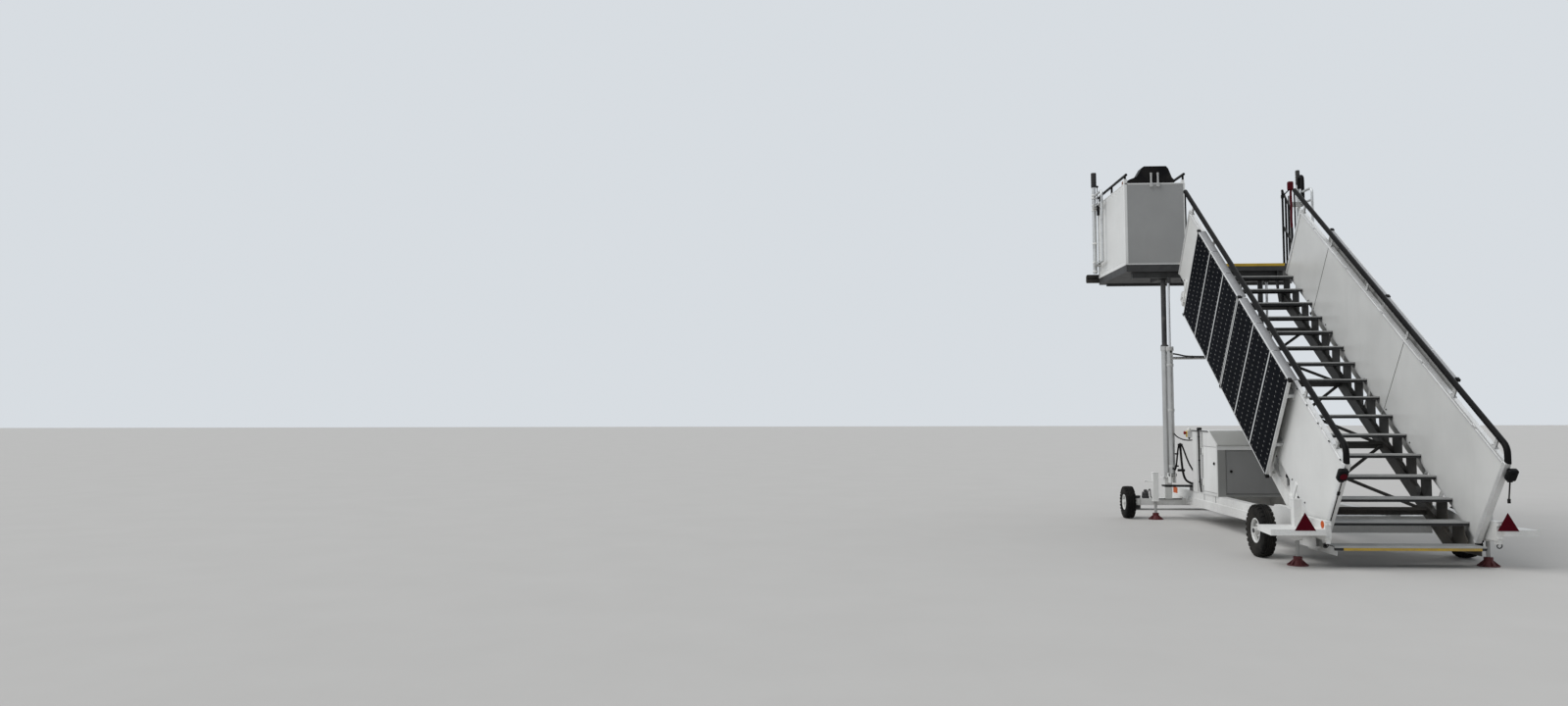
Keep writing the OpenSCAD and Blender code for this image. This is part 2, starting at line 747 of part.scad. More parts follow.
// Flight
module flight_frame() color("lightgray") difference()
{
    union() {
        on_slope() for (side = SIDES) {
            translate([100, side * stringer_y - stringer_w / 2, -stringer_drop - stringer_h]) cube([stringer_end - 100, stringer_w, stringer_h]);
            // Brackets out to the balustrade's lower edge
            for (s = bracket_s) {
                span_box([s, side * (stringer_y + stringer_w / 2 - 1), -stringer_mid - 20], [s + 50, side * (panel_out + 8), -stringer_mid + 20]);
                span_box([s, side * panel_out, -stringer_mid - 20], [s + 50, side * (panel_out + 8), 0]);
            }
        }
        for (side = SIDES) {
            for (k = [0 : tread_count - 1])
                translate([k * going, side * stringer_y + 4, (k + 1) * riser - tread_t]) rotate([90, 0, 0]) linear_extrude(8)
                    polygon([[30, 0], [tread_d - 20, 0], [tread_d - 20, -200], [30, -330]]);
            // Foot plate under the lowest treads
            translate([0, side * stringer_y + 4, 0]) rotate([90, 0, 0]) linear_extrude(8)
                polygon([[30, foot_cut_z], [30, riser - tread_t], [tread_d - 20, riser - tread_t],
                         [tread_d - 20, riser - lip_h - 6], [tread_d + 3, riser - lip_h - 6], [tread_d + 3, riser + 20],
                         [going + 30, 2 * riser - tread_t - 100], [roller_x, foot_cut_z + 100], [roller_x, foot_cut_z]]);
            // Roller of the foot
            span_cylinder(roller_x, roller_z, side * (stringer_y + stringer_w / 2 - 1), side * (stringer_y + stringer_w / 2 + 8), 20);
            span_cylinder(roller_x, roller_z, side * (stringer_y + stringer_w / 2 + 7), side * (stringer_y + stringer_w / 2 + 7 + roller_w), roller_r);
        }
        on_slope() for (s = brace_s)
            translate([s, -stringer_y, -stringer_mid - 30]) cube([50, 2 * stringer_y, 60]);
        // Crossed rods between the cross members
        on_slope() for (k = [0 : 2]) for (e = [-1, 1])
            rod([brace_s[k] + 25, e * (stringer_y - brace_in), -stringer_mid], [brace_s[k + 1] + 25, -e * (stringer_y - brace_in), -stringer_mid], brace_r);
    }
    translate([-500, -2000, -1000]) cube([7000, 4000, 1000 + foot_cut_z]);
    translate([pivot_x, 0, pivot_z]) across(2 * panel_out, pivot_r + pin_fit);
}

module tread_section()
{
    difference() {
        translate([0, -lip_h]) square([tread_d, lip_h]);
        translate([tread_t, -lip_h - 1]) square([tread_d - 2 * tread_t, lip_h + 1 - tread_t]);
    }
}
module treads() color("dimgray")
{
    for (k = [0 : tread_count - 1])
        translate([k * going, tread_w / 2, (k + 1) * riser]) rotate([90, 0, 0]) linear_extrude(tread_w) tread_section();
}

module balustrade_panels() color("white")
{
    on_slope() for (side = SIDES)
        translate([panel_start, side * (panel_in + panel_t / 2) - panel_t / 2, -panel_drop])
            cube([panel_end - panel_start, panel_t, panel_h + panel_drop]);
}

// Cross-section of the edge frame, with a hollow along each side
module edge_section()
{
    polygon([[-20, 0], [20, 0], [20, 12], [20 - edge_groove, 15], [20 - edge_groove, edge_w - 15], [20, edge_w - 12],
             [20, edge_w], [-20, edge_w], [-20, edge_w - 12], [edge_groove - 20, edge_w - 15], [edge_groove - 20, 15], [-20, 12]]);
}

post_s = [400, 1215, 2285, 3340, 4430, 5380];
module balustrade_frames() color("silver")
{
    on_slope() for (side = SIDES) {
        y = side * rail_y;
        translate([panel_start, y, panel_h]) rotate([90, 0, 90]) linear_extrude(panel_end - panel_start) edge_section();
        span_box([panel_start - edge_w, side * (rail_y - end_post_in), -panel_drop - lower_rail],
            [panel_start, side * (rail_y + 20), panel_h + edge_w]);
        span_box([panel_end, side * (rail_y - 20), -panel_drop - lower_rail], [panel_end + edge_w, side * (rail_y + 20), panel_h + edge_w]);
        translate([panel_start - 1, y - panel_t / 2, -panel_drop - lower_rail])
            cube([panel_end - panel_start + 2, panel_t, lower_rail]);
        // Posts of the handrail
        for (s = post_s)
            translate([s - 12, y - 4, frame_top - 1]) cube([24, 8, rail_h - rail_r + 4 - frame_top]);
    }
}

module handrails() color("black")
{
    on_slope() for (side = SIDES) difference() {
        union() {
            translate([rail_bend_s, side * rail_y, rail_h]) rotate([0, 90, 0]) cylinder(h = rail_end - rail_bend_s, r = rail_r);
            translate([rail_bend_s, side * rail_y, rail_bend_n]) rotate([90, 0, 0]) rotate([0, 0, 90])
                rotate_extrude(angle = 90 - slope) translate([rail_bend, 0]) circle(r = rail_r, $fn = 24);
            rod([rail_bend_s - rail_bend * cos(slope), side * rail_y, rail_bend_n + rail_bend * sin(slope)],
                [panel_start - edge_w / 2 - 40 * sin(slope), side * rail_y, frame_top - 40 * cos(slope)], rail_r);
            // Cores that join the bend to its neighbours
            translate([rail_bend_s, side * rail_y, rail_h]) sphere(r = rail_r * 0.6);
            translate([rail_bend_s - rail_bend * cos(slope), side * rail_y, rail_bend_n + rail_bend * sin(slope)])
                sphere(r = rail_r * 0.6);
        }
        translate([-100, side * rail_y - 100, frame_top - 300]) cube([600, 200, 300]);
        // Slots for the posts
        for (s = post_s)
            translate([s - 12, side * rail_y - 4, frame_top]) cube([24, 8, rail_h - rail_r + 3 - frame_top]);
    }
}

function module_s(k) = array_start + k * (module_w + 4) + (k < array_split ? 0 : array_split_gap);
module solar_modules() color("#101820")
{
    on_slope() for (side = SIDES) for (k = [0 : module_count - 1])
        translate([module_s(k), side * (panel_out + array_gap + module_t / 2) - module_t / 2, array_top - module_l])
            cube([module_w, module_t, module_l]);
}

module solar_mounts() color("silver")
{
    on_slope() for (side = SIDES) for (n = clamp_n)
        translate([array_start, side * (panel_out + array_gap / 2) - array_gap / 2, n])
            cube([module_s(module_count) - array_start, array_gap, clamp_h]);
}

module strap_boxes() color("black")
{
    on_slope() for (side = SIDES)
        translate([panel_start - edge_w - strap_l, side * (rail_y + strap_out) - strap_w / 2, strap_n])
            cube([strap_l, strap_w, strap_h]);
}

// Platform
module deck_outline()
{
    polygon([[0, deck_left], [deck_l, deck_left], [deck_l, -deck_right], [0, -panel_out]]);
}
module deck() color("gray")
{
    translate([deck_x, 0, deck_z - deck_h]) linear_extrude(deck_h) deck_outline();
    // Beams under the platform, over the masts and across
    for (side = SIDES)
        translate([deck_x + 60, mast_mid_y + side * mast_span / 2 - under_w / 2, head_z]) cube([under_l, under_w, under_h + 1]);
    box([deck_x + 60, -panel_out + 30, head_z], [deck_x + 60 + under_w, deck_left - 90, deck_z - deck_h + 1]);
    box([deck_front - 150, -deck_right + 130, head_z + under_rise], [deck_front - 70, deck_left - 90, deck_z - deck_h + 1]);
    for (side = SIDES) {
        y = side * (stringer_y - stringer_w / 2 - lug_gap - lug_t / 2);
        translate([0, y + lug_t / 2, 0]) rotate([90, 0, 0]) linear_extrude(lug_t)
            polygon([[pivot_x - 45, pivot_z - 50], [pivot_x + 50, pivot_z - 50], [deck_x + 140, deck_z - deck_h + 5],
                     [deck_x + 15, deck_z - deck_h + 5], [deck_x + 15, pivot_z + 100], [pivot_x - 45, pivot_z + 50]]);
        span_cylinder(pivot_x, pivot_z, y, side * (stringer_y + stringer_w / 2 + 5), pivot_r);
    }
}

module deck_walls() color("white")
{
    z = deck_z;
    box([deck_x + 30, deck_left - wall_t, z], [deck_front, deck_left, z + wall_h]);
}

// Grey wall behind the controls, turned forward beside the way through
module rear_wall() color("gray")
{
    box([deck_x + 30, deck_left - rear_wall_w, deck_z], [deck_x + 30 + wall_t, deck_left - wall_t, deck_z + wall_h]);
    box([deck_x + 30 + wall_t - 1, deck_left - rear_wall_w, deck_z],
        [deck_x + 30 + wall_t + return_l, deck_left - rear_wall_w + wall_t, deck_z + wall_h]);
}

module deck_rails() color("black")
{
    z = deck_z + top_rail_z;
    translate([0, deck_left - wall_t / 2, 0]) {
        rod([deck_x, 0, z], [deck_front + 60, 0, z], 18);
        for (x = [deck_x + 60, deck_x + deck_l / 2, deck_front - 60])
            rod([x, 0, deck_z + wall_h], [x, 0, z], rail_post_r);
    }
    // Short rail on the wall beside the way through
    translate([0, deck_left - rear_wall_w + wall_t / 2, 0]) {
        rod([deck_x, 0, z], [deck_x + return_l + 60, 0, z], 18);
        for (x = [deck_x + 48, deck_x + return_l])
            rod([x, 0, deck_z + wall_h], [x, 0, z], rail_post_r);
    }
    // Rail on the right, from the flight's head to the corner column
    low_end = [deck_x + 20, -panel_out + 20, deck_z];
    high_end = [deck_front - 110, -deck_right + 30, deck_z];
    for (share = [0, 0.36, 0.7])
        rod(low_end + share * (high_end - low_end), low_end + share * (high_end - low_end) + [0, 0, side_rail_z], rail_post_r);
    for (h = [knee_z, side_rail_z])
        rod(low_end + [0, 0, h], high_end + [0, 0, h], rail_post_r);
    translate(low_end + [0, 0, side_rail_z]) sphere(r = rail_post_r + 3);
    // Corner column and the sleeves of the side guards
    box([deck_front - 130, -deck_right + column_in, deck_z],
        [deck_front - 130 + column_l, -deck_right + column_in + column_w, deck_z + column_h]);
    for (side = SIDES) for (z = guard_z)
        difference() {
            span_box([deck_front - 150, guard_y(side) + side * guard_sleeve, deck_z + z - guard_sleeve],
                [deck_front - 70, side > 0 ? deck_left : -deck_right + column_in + 5, deck_z + z + guard_sleeve]);
            translate([deck_front - 200, guard_y(side), deck_z + z]) rotate([0, 90, 0]) cylinder(h = 200, r = guard_r + fit);
        }
}

module hood_outline(inset)
{
    offset(delta = -inset) polygon([for (q = hood_shape) [deck_left + q[0], deck_z + wall_h + q[1]]]);
}

// Hood over the controls, open to the front, with the sloped panel inside it
module console() color("black")
{
    translate([deck_x + 30, 0, 0]) {
        difference() {
            rotate([90, 0, 90]) linear_extrude(hood_l) hood_outline(0);
            translate([2 * hood_t, 0, 0]) rotate([90, 0, 90]) linear_extrude(hood_l) hood_outline(hood_t);
        }
        translate([0, deck_left - 250, deck_z + wall_h + hood_t]) rotate([90, 0, 0]) linear_extrude(300)
            polygon([[hood_t, -1], [hood_l - 20, -1], [hood_l - 20, 30], [2 * hood_t - 1, 110], [hood_t, 110]]);
    }
}

module front_bumper() color("#202020")
{
    box([deck_front, -deck_right - 110, deck_z - 60], [deck_front + bumper_d, deck_left + 170, deck_z + bumper_h - 60]);
}

module inner_masts() color("dimgray")
{
    mast_places() {
        translate([mast_x, 0, mast_base_z + lift_down + 60]) cylinder(h = head_z - (mast_base_z + lift_down + 60), r = mast_r);
        translate([barrel_x, barrel_off, rod_z_low]) cylinder(h = head_z - rod_z_low, r = rod_r);
    }
}

module guard(side) color("gray")
{
    translate([deck_front - 30, guard_y(side), deck_z]) {
        rod([0, 0, 70], [0, 0, guard_post_h], guard_post_r);
        for (z = guard_z) rod([-guard_l, 0, z], [0, 0, z], guard_r);
        rod([-guard_l, 0, guard_z[0]], [-guard_l, 0, guard_top - guard_bend], guard_r);
        for (z = guard_z) translate([-guard_l, 0, z]) sphere(r = guard_r);
        // Loop over the top, bent down at its rear
        rod([-guard_l + guard_bend, 0, guard_top], [0, 0, guard_top], guard_r);
        translate([-guard_l + guard_bend, 0, guard_top - guard_bend]) rotate([90, 0, 0]) rotate([0, 0, 90])
            rotate_extrude(angle = 90) translate([guard_bend, 0]) circle(r = guard_r, $fn = 24);
        translate([-guard_l + guard_bend, 0, guard_top]) sphere(r = guard_r * 0.7);
        translate([-guard_l, 0, guard_top - guard_bend]) sphere(r = guard_r * 0.7);
    }
}
module guard_left() { guard(LEFT); }
module guard_right() { guard(RIGHT); }

centred() chassis_frame();
centred() rear_stubs();
centred() rear_shelves();
centred() reflectors();
centred() outer_masts();
centred() lift_barrels();
centred() cabinet();
centred() battery_pack();
centred() cabinet_door();
centred() cabinet_side_door();
centred() pump_unit();
centred() jack_front_left();
centred() jack_front_right();
centred() jack_rear_left();
centred() jack_rear_right();
centred() drawbar_yoke();
centred() drawbar();
centred() tie_rod();
centred() knuckle_left();
centred() knuckle_right();
centred() front_tyre_left();
centred() front_rim_left();
centred() front_tyre_right();
centred() front_rim_right();
centred() rear_tyre_left();
centred() rear_rim_left();
centred() rear_tyre_right();
centred() rear_rim_right();
centred() flight_frame();
centred() treads();
centred() balustrade_panels();
centred() balustrade_frames();
centred() handrails();
centred() solar_modules();
centred() solar_mounts();
centred() strap_boxes();
centred() deck();
centred() deck_walls();
centred() rear_wall();
centred() deck_rails();
centred() console();
centred() front_bumper();
centred() inner_masts();
centred() guard_left();
centred() guard_right();
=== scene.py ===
"""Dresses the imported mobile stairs: camera, light, finishes and the pieces that the solids leave out."""
import json
import math

import bpy
from mathutils import Matrix, Vector

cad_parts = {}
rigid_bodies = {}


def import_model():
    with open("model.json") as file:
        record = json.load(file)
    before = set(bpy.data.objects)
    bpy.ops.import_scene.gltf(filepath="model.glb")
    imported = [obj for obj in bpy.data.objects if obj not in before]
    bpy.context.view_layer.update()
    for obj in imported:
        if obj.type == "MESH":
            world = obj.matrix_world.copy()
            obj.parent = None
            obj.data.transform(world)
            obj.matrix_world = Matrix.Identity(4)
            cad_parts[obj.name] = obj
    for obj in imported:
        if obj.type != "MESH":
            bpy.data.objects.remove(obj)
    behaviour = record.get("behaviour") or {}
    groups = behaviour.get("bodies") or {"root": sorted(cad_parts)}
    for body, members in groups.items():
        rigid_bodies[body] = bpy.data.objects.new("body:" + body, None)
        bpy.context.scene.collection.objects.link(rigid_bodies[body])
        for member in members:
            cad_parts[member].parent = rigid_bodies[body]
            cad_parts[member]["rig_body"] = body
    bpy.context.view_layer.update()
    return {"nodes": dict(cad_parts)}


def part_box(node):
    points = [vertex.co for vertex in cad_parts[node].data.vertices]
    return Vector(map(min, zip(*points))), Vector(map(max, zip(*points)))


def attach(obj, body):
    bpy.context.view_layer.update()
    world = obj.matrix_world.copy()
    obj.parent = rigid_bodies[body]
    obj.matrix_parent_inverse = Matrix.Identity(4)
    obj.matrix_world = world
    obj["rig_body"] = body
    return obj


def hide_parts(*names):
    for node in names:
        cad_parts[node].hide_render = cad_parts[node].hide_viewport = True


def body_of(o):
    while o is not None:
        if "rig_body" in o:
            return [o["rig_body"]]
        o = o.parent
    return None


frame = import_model()
nodes = frame["nodes"]

# The stairs' own measures, in metres, from the lowest nosing at ground level
RISER = 0.200
GOING = 0.286
STEPS = 16
SLOPE = math.atan(RISER / GOING)
DECK_X = STEPS * GOING
DECK_Z = (STEPS + 1) * RISER
DECK_LEFT = 1.390
DECK_RIGHT = 1.420
DECK_FRONT = DECK_X + 1.650
WALL_H = 1.100
WALL_BACK = 0.030
REAR_WALL_W = 0.800
CHASSIS_Y = 0.070
BEAM_OUT = 0.560
ARM_OUT = 0.790
MAST_Y = 0.210
MAST_OUT = 0.645
LEFT = 1
RIGHT = -1
SIDES = (LEFT, RIGHT)
SIDE_NAMES = {LEFT: "left", RIGHT: "right"}
PANEL_IN = 0.689
PANEL_T = 0.024
PANEL_OUT = PANEL_IN + PANEL_T
RAIL_Y = PANEL_IN + PANEL_T / 2
RETURN_Y = 0.701
STRINGER_IN = 0.6215
STRINGER_OUT = 0.679
TREAD_W = 1.370
TREAD_D = 0.252
LIP = 0.030
GRIP_T = 0.008
BELT_T = 0.002
TRIANGLES_X = -0.080
GUIDES_X = 4.780
CYLINDERS_X = 4.625
RODS_FRONT = 4.700
FOOT_TOP = 0.087
MODULE_Y = PANEL_OUT + 0.075
MODULE_W = 0.545
MODULE_L = 1.190
MODULE_T = 0.030
MODULE_TOP = 0.915
CABINET_REAR = 3.420
CABINET_FRONT = 4.400
CABINET_LEFT = CHASSIS_Y + BEAM_OUT
CABINET_RIGHT = CHASSIS_Y - BEAM_OUT
CABINET_LID_Z = 1.020
SIDE_DOOR_X = 3.968

# Spans: along the slope, above the line of the nosings, and across
PANEL_S = (0.185, 5.434)
PANEL_N = (-0.060, 0.800)
CASE_S = (0.080, 0.140)
CASE_N = (0.690, 0.810)
CASE_Y = (0.690, 0.780)

# Rows of repeated places along the slope
POSTS = (0.400, 1.215, 2.285, 3.340, 4.430, 5.380)
MODULES = [1.400 + k * 0.549 + (0.030 if k > 2 else 0.0) for k in range(6)]

# Each jack's place on the ground
JACKS = {
    "jack_front_left": (4.650, CHASSIS_Y + 0.985),
    "jack_front_right": (4.650, CHASSIS_Y - 0.985),
    "jack_rear_left": (0.200, CHASSIS_Y + 0.870),
    "jack_rear_right": (0.200, CHASSIS_Y - 0.870),
}

# Directions
AHEAD = (1, 0, 0)
ACROSS = (0, 1, 0)
UP = (0, 0, 1)


# The shared frame has these measures moved to its middle, and the platform's walls say by how much
walls_low, walls_high = (Vector(corner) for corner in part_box("deck_walls"))
MIDDLE = Vector((DECK_X + WALL_BACK - walls_low.x, DECK_LEFT - walls_high.y, 0.0))


def at(x, y, z):
    """A point of the stairs' own measures, in the shared frame."""
    return Vector((x, y, z)) - MIDDLE


def route(*points):
    """A row of points of the stairs' own measures, in the shared frame."""
    return [at(*point) for point in points]


FLIGHT = Matrix.Translation(at(0, 0, RISER)) @ Matrix.Rotation(-SLOPE, 4, "Y")


def on_flight(s, y, n):
    """A point s up the slope and n square above the line of the nosings."""
    return FLIGHT @ Vector((s, y, n))


# Finishes
class Wire:
    """One value inside a finish. Arithmetic on it adds Math nodes."""

    def __init__(self, finish, socket):
        self.finish = finish
        self.socket = socket

    def maths(self, operation, first, second=0.0):
        return self.finish.node("ShaderNodeMath", {"operation": operation}, {0: first, 1: second})

    def __add__(self, other):
        return self.maths("ADD", self, other)

    def __sub__(self, other):
        return self.maths("SUBTRACT", self, other)

    def __rsub__(self, other):
        return self.maths("SUBTRACT", other, self)

    def __mul__(self, other):
        return self.maths("MULTIPLY", self, other)

    def __truediv__(self, other):
        return self.maths("DIVIDE", self, other)

    def __mod__(self, other):
        return self.maths("FLOORED_MODULO", self, other)

    def __or__(self, other):
        return self.maths("MAXIMUM", self, other)

    def __lt__(self, other):
        return self.maths("LESS_THAN", self, other)

    def __gt__(self, other):
        return self.maths("GREATER_THAN", self, other)

    def __abs__(self):
        return self.maths("ABSOLUTE", self)

    __radd__ = __add__
    __rmul__ = __mul__


class Finish:
    """A material made of one Principled shader and the nodes that feed it."""

    def __init__(self, name, **sockets):
        self.material = bpy.data.materials.new(name)
        self.material.use_nodes = True
        self.tree = self.material.node_tree
        self.shader = self.tree.nodes["Principled BSDF"]
        for socket, value in sockets.items():
            self.set(socket.replace("_", " ").title().replace("Ior", "IOR"), value)
        self.place = self.node("ShaderNodeTexCoord", output="Object")

    def node(self, kind, settings=None, values=None, output=0):
        made = self.tree.nodes.new(kind)
        for name, value in (settings or {}).items():
            if name == "stops":  # A ramp's steps, each a position and a level of grey
                stops = made.color_ramp.elements
                while len(stops) < len(value):
                    stops.new(1.0)
                for stop, (position, level) in zip(stops, value):
                    stop.position = position
                    stop.color = (level, level, level, 1.0)
            else:
                setattr(made, name, value)
        for key, value in (values or {}).items():
            self.feed(made.inputs[key], value)
        return Wire(self, made.outputs[output])

    def feed(self, socket, value):
        if isinstance(value, Wire):
            self.tree.links.new(value.socket, socket)
        elif socket.type == "RGBA" and len(value) == 3:
            socket.default_value = (*value, 1.0)
        else:
            socket.default_value = value

    def set(self, socket, value):
        self.feed(self.shader.inputs[socket], value)

    def turned(self, angles=(0, 0, 0), size=(1, 1, 1)):
        """The surface's own place, turned and scaled for a pattern."""
        return self.node("ShaderNodeMapping", {"vector_type": "POINT"},
                         {"Vector": self.place, "Rotation": angles, "Scale": size})

    def split(self, vector=None):
        """The x, y and z of a vector, or of the surface's own place."""
        source = self.node("ShaderNodeSeparateXYZ", None, {0: vector or self.place})
        return [Wire(self, source.socket.node.outputs[axis]) for axis in range(3)]

    def noise(self, scale, detail, roughness=0.5, vector=None):
        values = {"Vector": vector or self.place, "Scale": scale, "Detail": detail, "Roughness": roughness}
        return self.node("ShaderNodeTexNoise", None, values)

    def cells(self, scale, output="Distance"):
        return self.node("ShaderNodeTexVoronoi", None, {"Vector": self.place, "Scale": scale}, output)

    def ramp(self, value, *stops):
        return self.node("ShaderNodeValToRGB", {"stops": stops}, {0: value})

    def mixed(self, first, second, share):
        return self.node("ShaderNodeMix", {"data_type": "RGBA"}, {0: share, 6: first, 7: second}, 2)

    def bump(self, height, distance, strength):
        values = {"Height": height, "Distance": distance, "Strength": strength}
        self.set("Normal", self.node("ShaderNodeBump", None, values))

    def laid(self):
        """The colour that feeds the shader so far."""
        return Wire(self, self.shader.inputs["Base Color"].links[0].from_socket)


def deeper(colour, share):
    """A darker tone of a colour."""
    return [part * share for part in colour]


def painted(name, colour, roughness=0.38, grime=0.35, low=0.0, high=0.8):
    """Machine enamel: a faint roller skin, broad fading, rain streaks and road dust near the ground."""
    paint = Finish(name, ior=1.5)
    _, _, z = paint.split()
    broad = paint.noise(1.7, 4.0)
    streaks = paint.noise(7.0, 5.0, 0.6, paint.turned(size=(1.0, 1.0, 0.12)))
    specks = paint.noise(90.0, 2.0, 0.7)
    height = paint.node("ShaderNodeMapRange", {"clamp": True},
                        {"Value": z, "From Min": low, "From Max": high, "To Min": 1.0, "To Max": 0.0})
    faded = paint.mixed(colour, deeper(colour, 0.9), paint.ramp(broad, (0.35, 0.0), (0.7, 1.0)))
    streaked = paint.mixed(faded, deeper(colour, 0.72), paint.ramp(streaks, (0.52, 0.0), (0.78, 1.0)) * grime)
    dirt = paint.ramp(broad * 0.5 + specks * 0.5, (0.38, 0.0), (0.62, 1.0)) * height * grime
    paint.set("Base Color", paint.mixed(streaked, (0.17, 0.145, 0.115), dirt))
    paint.set("Roughness", roughness + paint.noise(12.0, 3.0) * 0.16 - 0.05)
    paint.bump(paint.noise(420.0, 2.0) + specks * 0.6, 0.0004, 0.5)
    return paint


def zinc(name, colour, scale=70.0, roughness=0.45, metallic=0.85):
    """Hot-dip zinc with its large flat crystals, dulled and stained."""
    coat = Finish(name)
    crystals = coat.cells(scale, output="Color")
    stains = coat.noise(6.0, 5.0, 0.6)
    tone = coat.ramp(crystals, (0.2, 0.72), (0.8, 1.0))
    base = coat.mixed(deeper(colour, 0.62), colour, tone)
    coat.set("Base Color", coat.mixed(base, deeper(colour, 0.45), coat.ramp(stains, (0.5, 0.0), (0.75, 0.8))))
    coat.set("Metallic", metallic)
    coat.set("Roughness", roughness + stains * 0.25 - 0.1)
    coat.bump(crystals, 0.0003, 0.25)
    return coat


def drawn_metal(name, colour, angles, roughness, metallic):
    """Extruded or drawn metal with fine lines along its length."""
    metal = Finish(name)
    lines = metal.noise(35.0, 4.0, 0.7, metal.turned(angles, (0.02, 6.0, 6.0)))
    blotch = metal.noise(5.0, 4.0)
    shine = metal.ramp(lines * 0.6 + blotch * 0.4, (0.35, 0.0), (0.62, 1.0))
    metal.set("Base Color", metal.mixed(deeper(colour, 0.75), colour, shine))
    metal.set("Metallic", metallic)
    metal.set("Roughness", roughness + lines * 0.25 - 0.08)
    metal.bump(lines, 0.0003, 0.4)
    return metal


def rubbery(name, colour, roughness, dust, grain=260.0):
    """Black rubber or moulded plastic with a fine grain and pale dust in its hollows."""
    skin = Finish(name, specular_ior_level=0.06)
    grit = skin.noise(grain, 3.0, 0.7)
    patches = skin.noise(4.0, 5.0, 0.6)
    dusty = skin.ramp(patches * 0.6 + grit * 0.4, (0.42, 0.0), (0.68, 1.0)) * dust
    skin.set("Base Color", skin.mixed(colour, (0.16, 0.145, 0.125), dusty))
    skin.set("Roughness", roughness + patches * 0.2 - 0.08)
    skin.bump(grit, 0.0005, 0.4)
    return skin


def reflex():
    """Red and orange reflector plastic with its fine prisms under a clear face."""
    lens = Finish("reflector_lens", roughness=0.4, specular_ior_level=0.05)
    x, _, _ = lens.split()
    orange = x > (TRIANGLES_X - MIDDLE.x)
    prisms = lens.cells(210.0)
    deep = lens.mixed((0.060, 0.0015, 0.006), (0.50, 0.09, 0.022), orange)
    lit = lens.mixed((0.13, 0.003, 0.012), (0.70, 0.18, 0.04), orange)
    lens.set("Base Color", lens.mixed(deep, lit, lens.ramp(prisms, (0.2, 1.0), (0.5, 0.0))))
    lens.bump(prisms, 0.0012, 0.6)
    return lens


def mast_steel():
    """The blackened guide tubes and, behind them, the bright chromed rods of the lift cylinders."""
    steel = Finish("mast_steel")
    x, _, _ = steel.split()
    bright = x < (RODS_FRONT - MIDDLE.x)
    lines = steel.noise(30.0, 4.0, 0.7, steel.turned((0, math.pi / 2, 0), (0.02, 5.0, 5.0)))
    smear = steel.noise(5.0, 5.0, 0.6)
    dull = steel.mixed((0.045, 0.045, 0.047), (0.11, 0.105, 0.10), steel.ramp(smear, (0.45, 0.0), (0.7, 1.0)))
    polished = steel.mixed((0.6, 0.6, 0.61), (0.78, 0.78, 0.79), lines)
    steel.set("Base Color", steel.mixed(dull, polished, bright))
    steel.set("Metallic", bright * 0.6 + 0.4)
    steel.set("Roughness", 0.42 - bright * 0.24 + smear * 0.12)
    steel.bump(lines, 0.0002, 0.3)
    return steel


def solar_glass():
    """Black half cells with small pale marks at their corners and fine silver lines, and pale backs."""
    glass = Finish("solar_cells", roughness=0.55, specular_ior_level=0.01, ior=1.5)
    _, y, _ = glass.split()
    behind = abs(y + MIDDLE.y) < (MODULE_Y + 0.004)
    s, _, n = glass.split(glass.turned((0, SLOPE, 0)))
    cell_s, cell_n, start = 0.13725, 0.0625, 4.0
    along = (s + start) / cell_s % 1.0
    across = (n + start) / cell_n % 1.0
    bright = (n + start) / (2 * cell_n) % 1.0 > 0.5
    off_s = abs(along - 0.5)
    off_n = abs(across - 0.5)
    diamond = (off_s * 1.6 + off_n > 1.10) * (bright * 0.34 + 0.10)
    finger = (abs(along * 3.0 % 1.0 - 0.5) > 0.470) * (abs(across * 2.0 % 1.0 - 0.5) < 0.30)
    cloud = glass.noise(9.0, 3.0)
    cell = glass.mixed((0.0025, 0.003, 0.0045), (0.006, 0.007, 0.010), cloud)
    lined = glass.mixed(cell, (0.070, 0.073, 0.077), finger * 0.3)
    front = glass.mixed(lined, (0.52, 0.52, 0.50), diamond)
    back = glass.mixed((0.50, 0.50, 0.49), (0.62, 0.62, 0.60), cloud)
    glass.set("Base Color", glass.mixed(front, back, behind))
    glass.bump(cloud, 0.0002, 0.3)
    return glass


def deck_floor():
    """Anti-slip floor plate with rows of raised lozenges, laid askew."""
    plate = Finish("deck_plate", metallic=0.6)
    rows = 28.0
    x, y, _ = plate.split(plate.turned((0, 0, math.radians(45)), (rows, rows, rows)))
    lozenge = (abs(x % 1.0 - 0.5) < 0.12) * (abs(y % 1.0 - 0.5) < 0.4)
    worn = plate.noise(3.0, 5.0)
    clean = plate.mixed((0.16, 0.165, 0.16), (0.3, 0.3, 0.29), lozenge)
    plate.set("Base Color",
              plate.mixed(clean, (0.09, 0.085, 0.08), plate.ramp(worn, (0.45, 0.0), (0.7, 0.8))))
    plate.set("Roughness", 0.45 + worn * 0.25)
    plate.bump(lozenge, 0.002, 0.6)
    return plate


def stringer_paint():
    """White outer faces of the stair stringers, and their inner faces between them near black, partly dirt
    and partly painted shade.
    """
    # The near-black base colour is painted shade on the inner faces, with some dirt.
    paint = painted("flight_frame_paint", (0.040, 0.040, 0.038), 0.6, 0.5, 0.2, 1.6)
    _, y, _ = paint.split()
    outside = (y > (STRINGER_IN - MIDDLE.y)) | (y < (-STRINGER_OUT - MIDDLE.y))
    grime = paint.ramp(paint.noise(5.0, 5.0, 0.6, paint.turned(size=(1.0, 1.0, 0.3))),
                       (0.45, 0.0), (0.72, 0.5))
    white = paint.mixed((0.84, 0.84, 0.82), (0.40, 0.38, 0.35), grime)
    paint.set("Base Color", paint.mixed(paint.laid(), white, outside))
    return paint


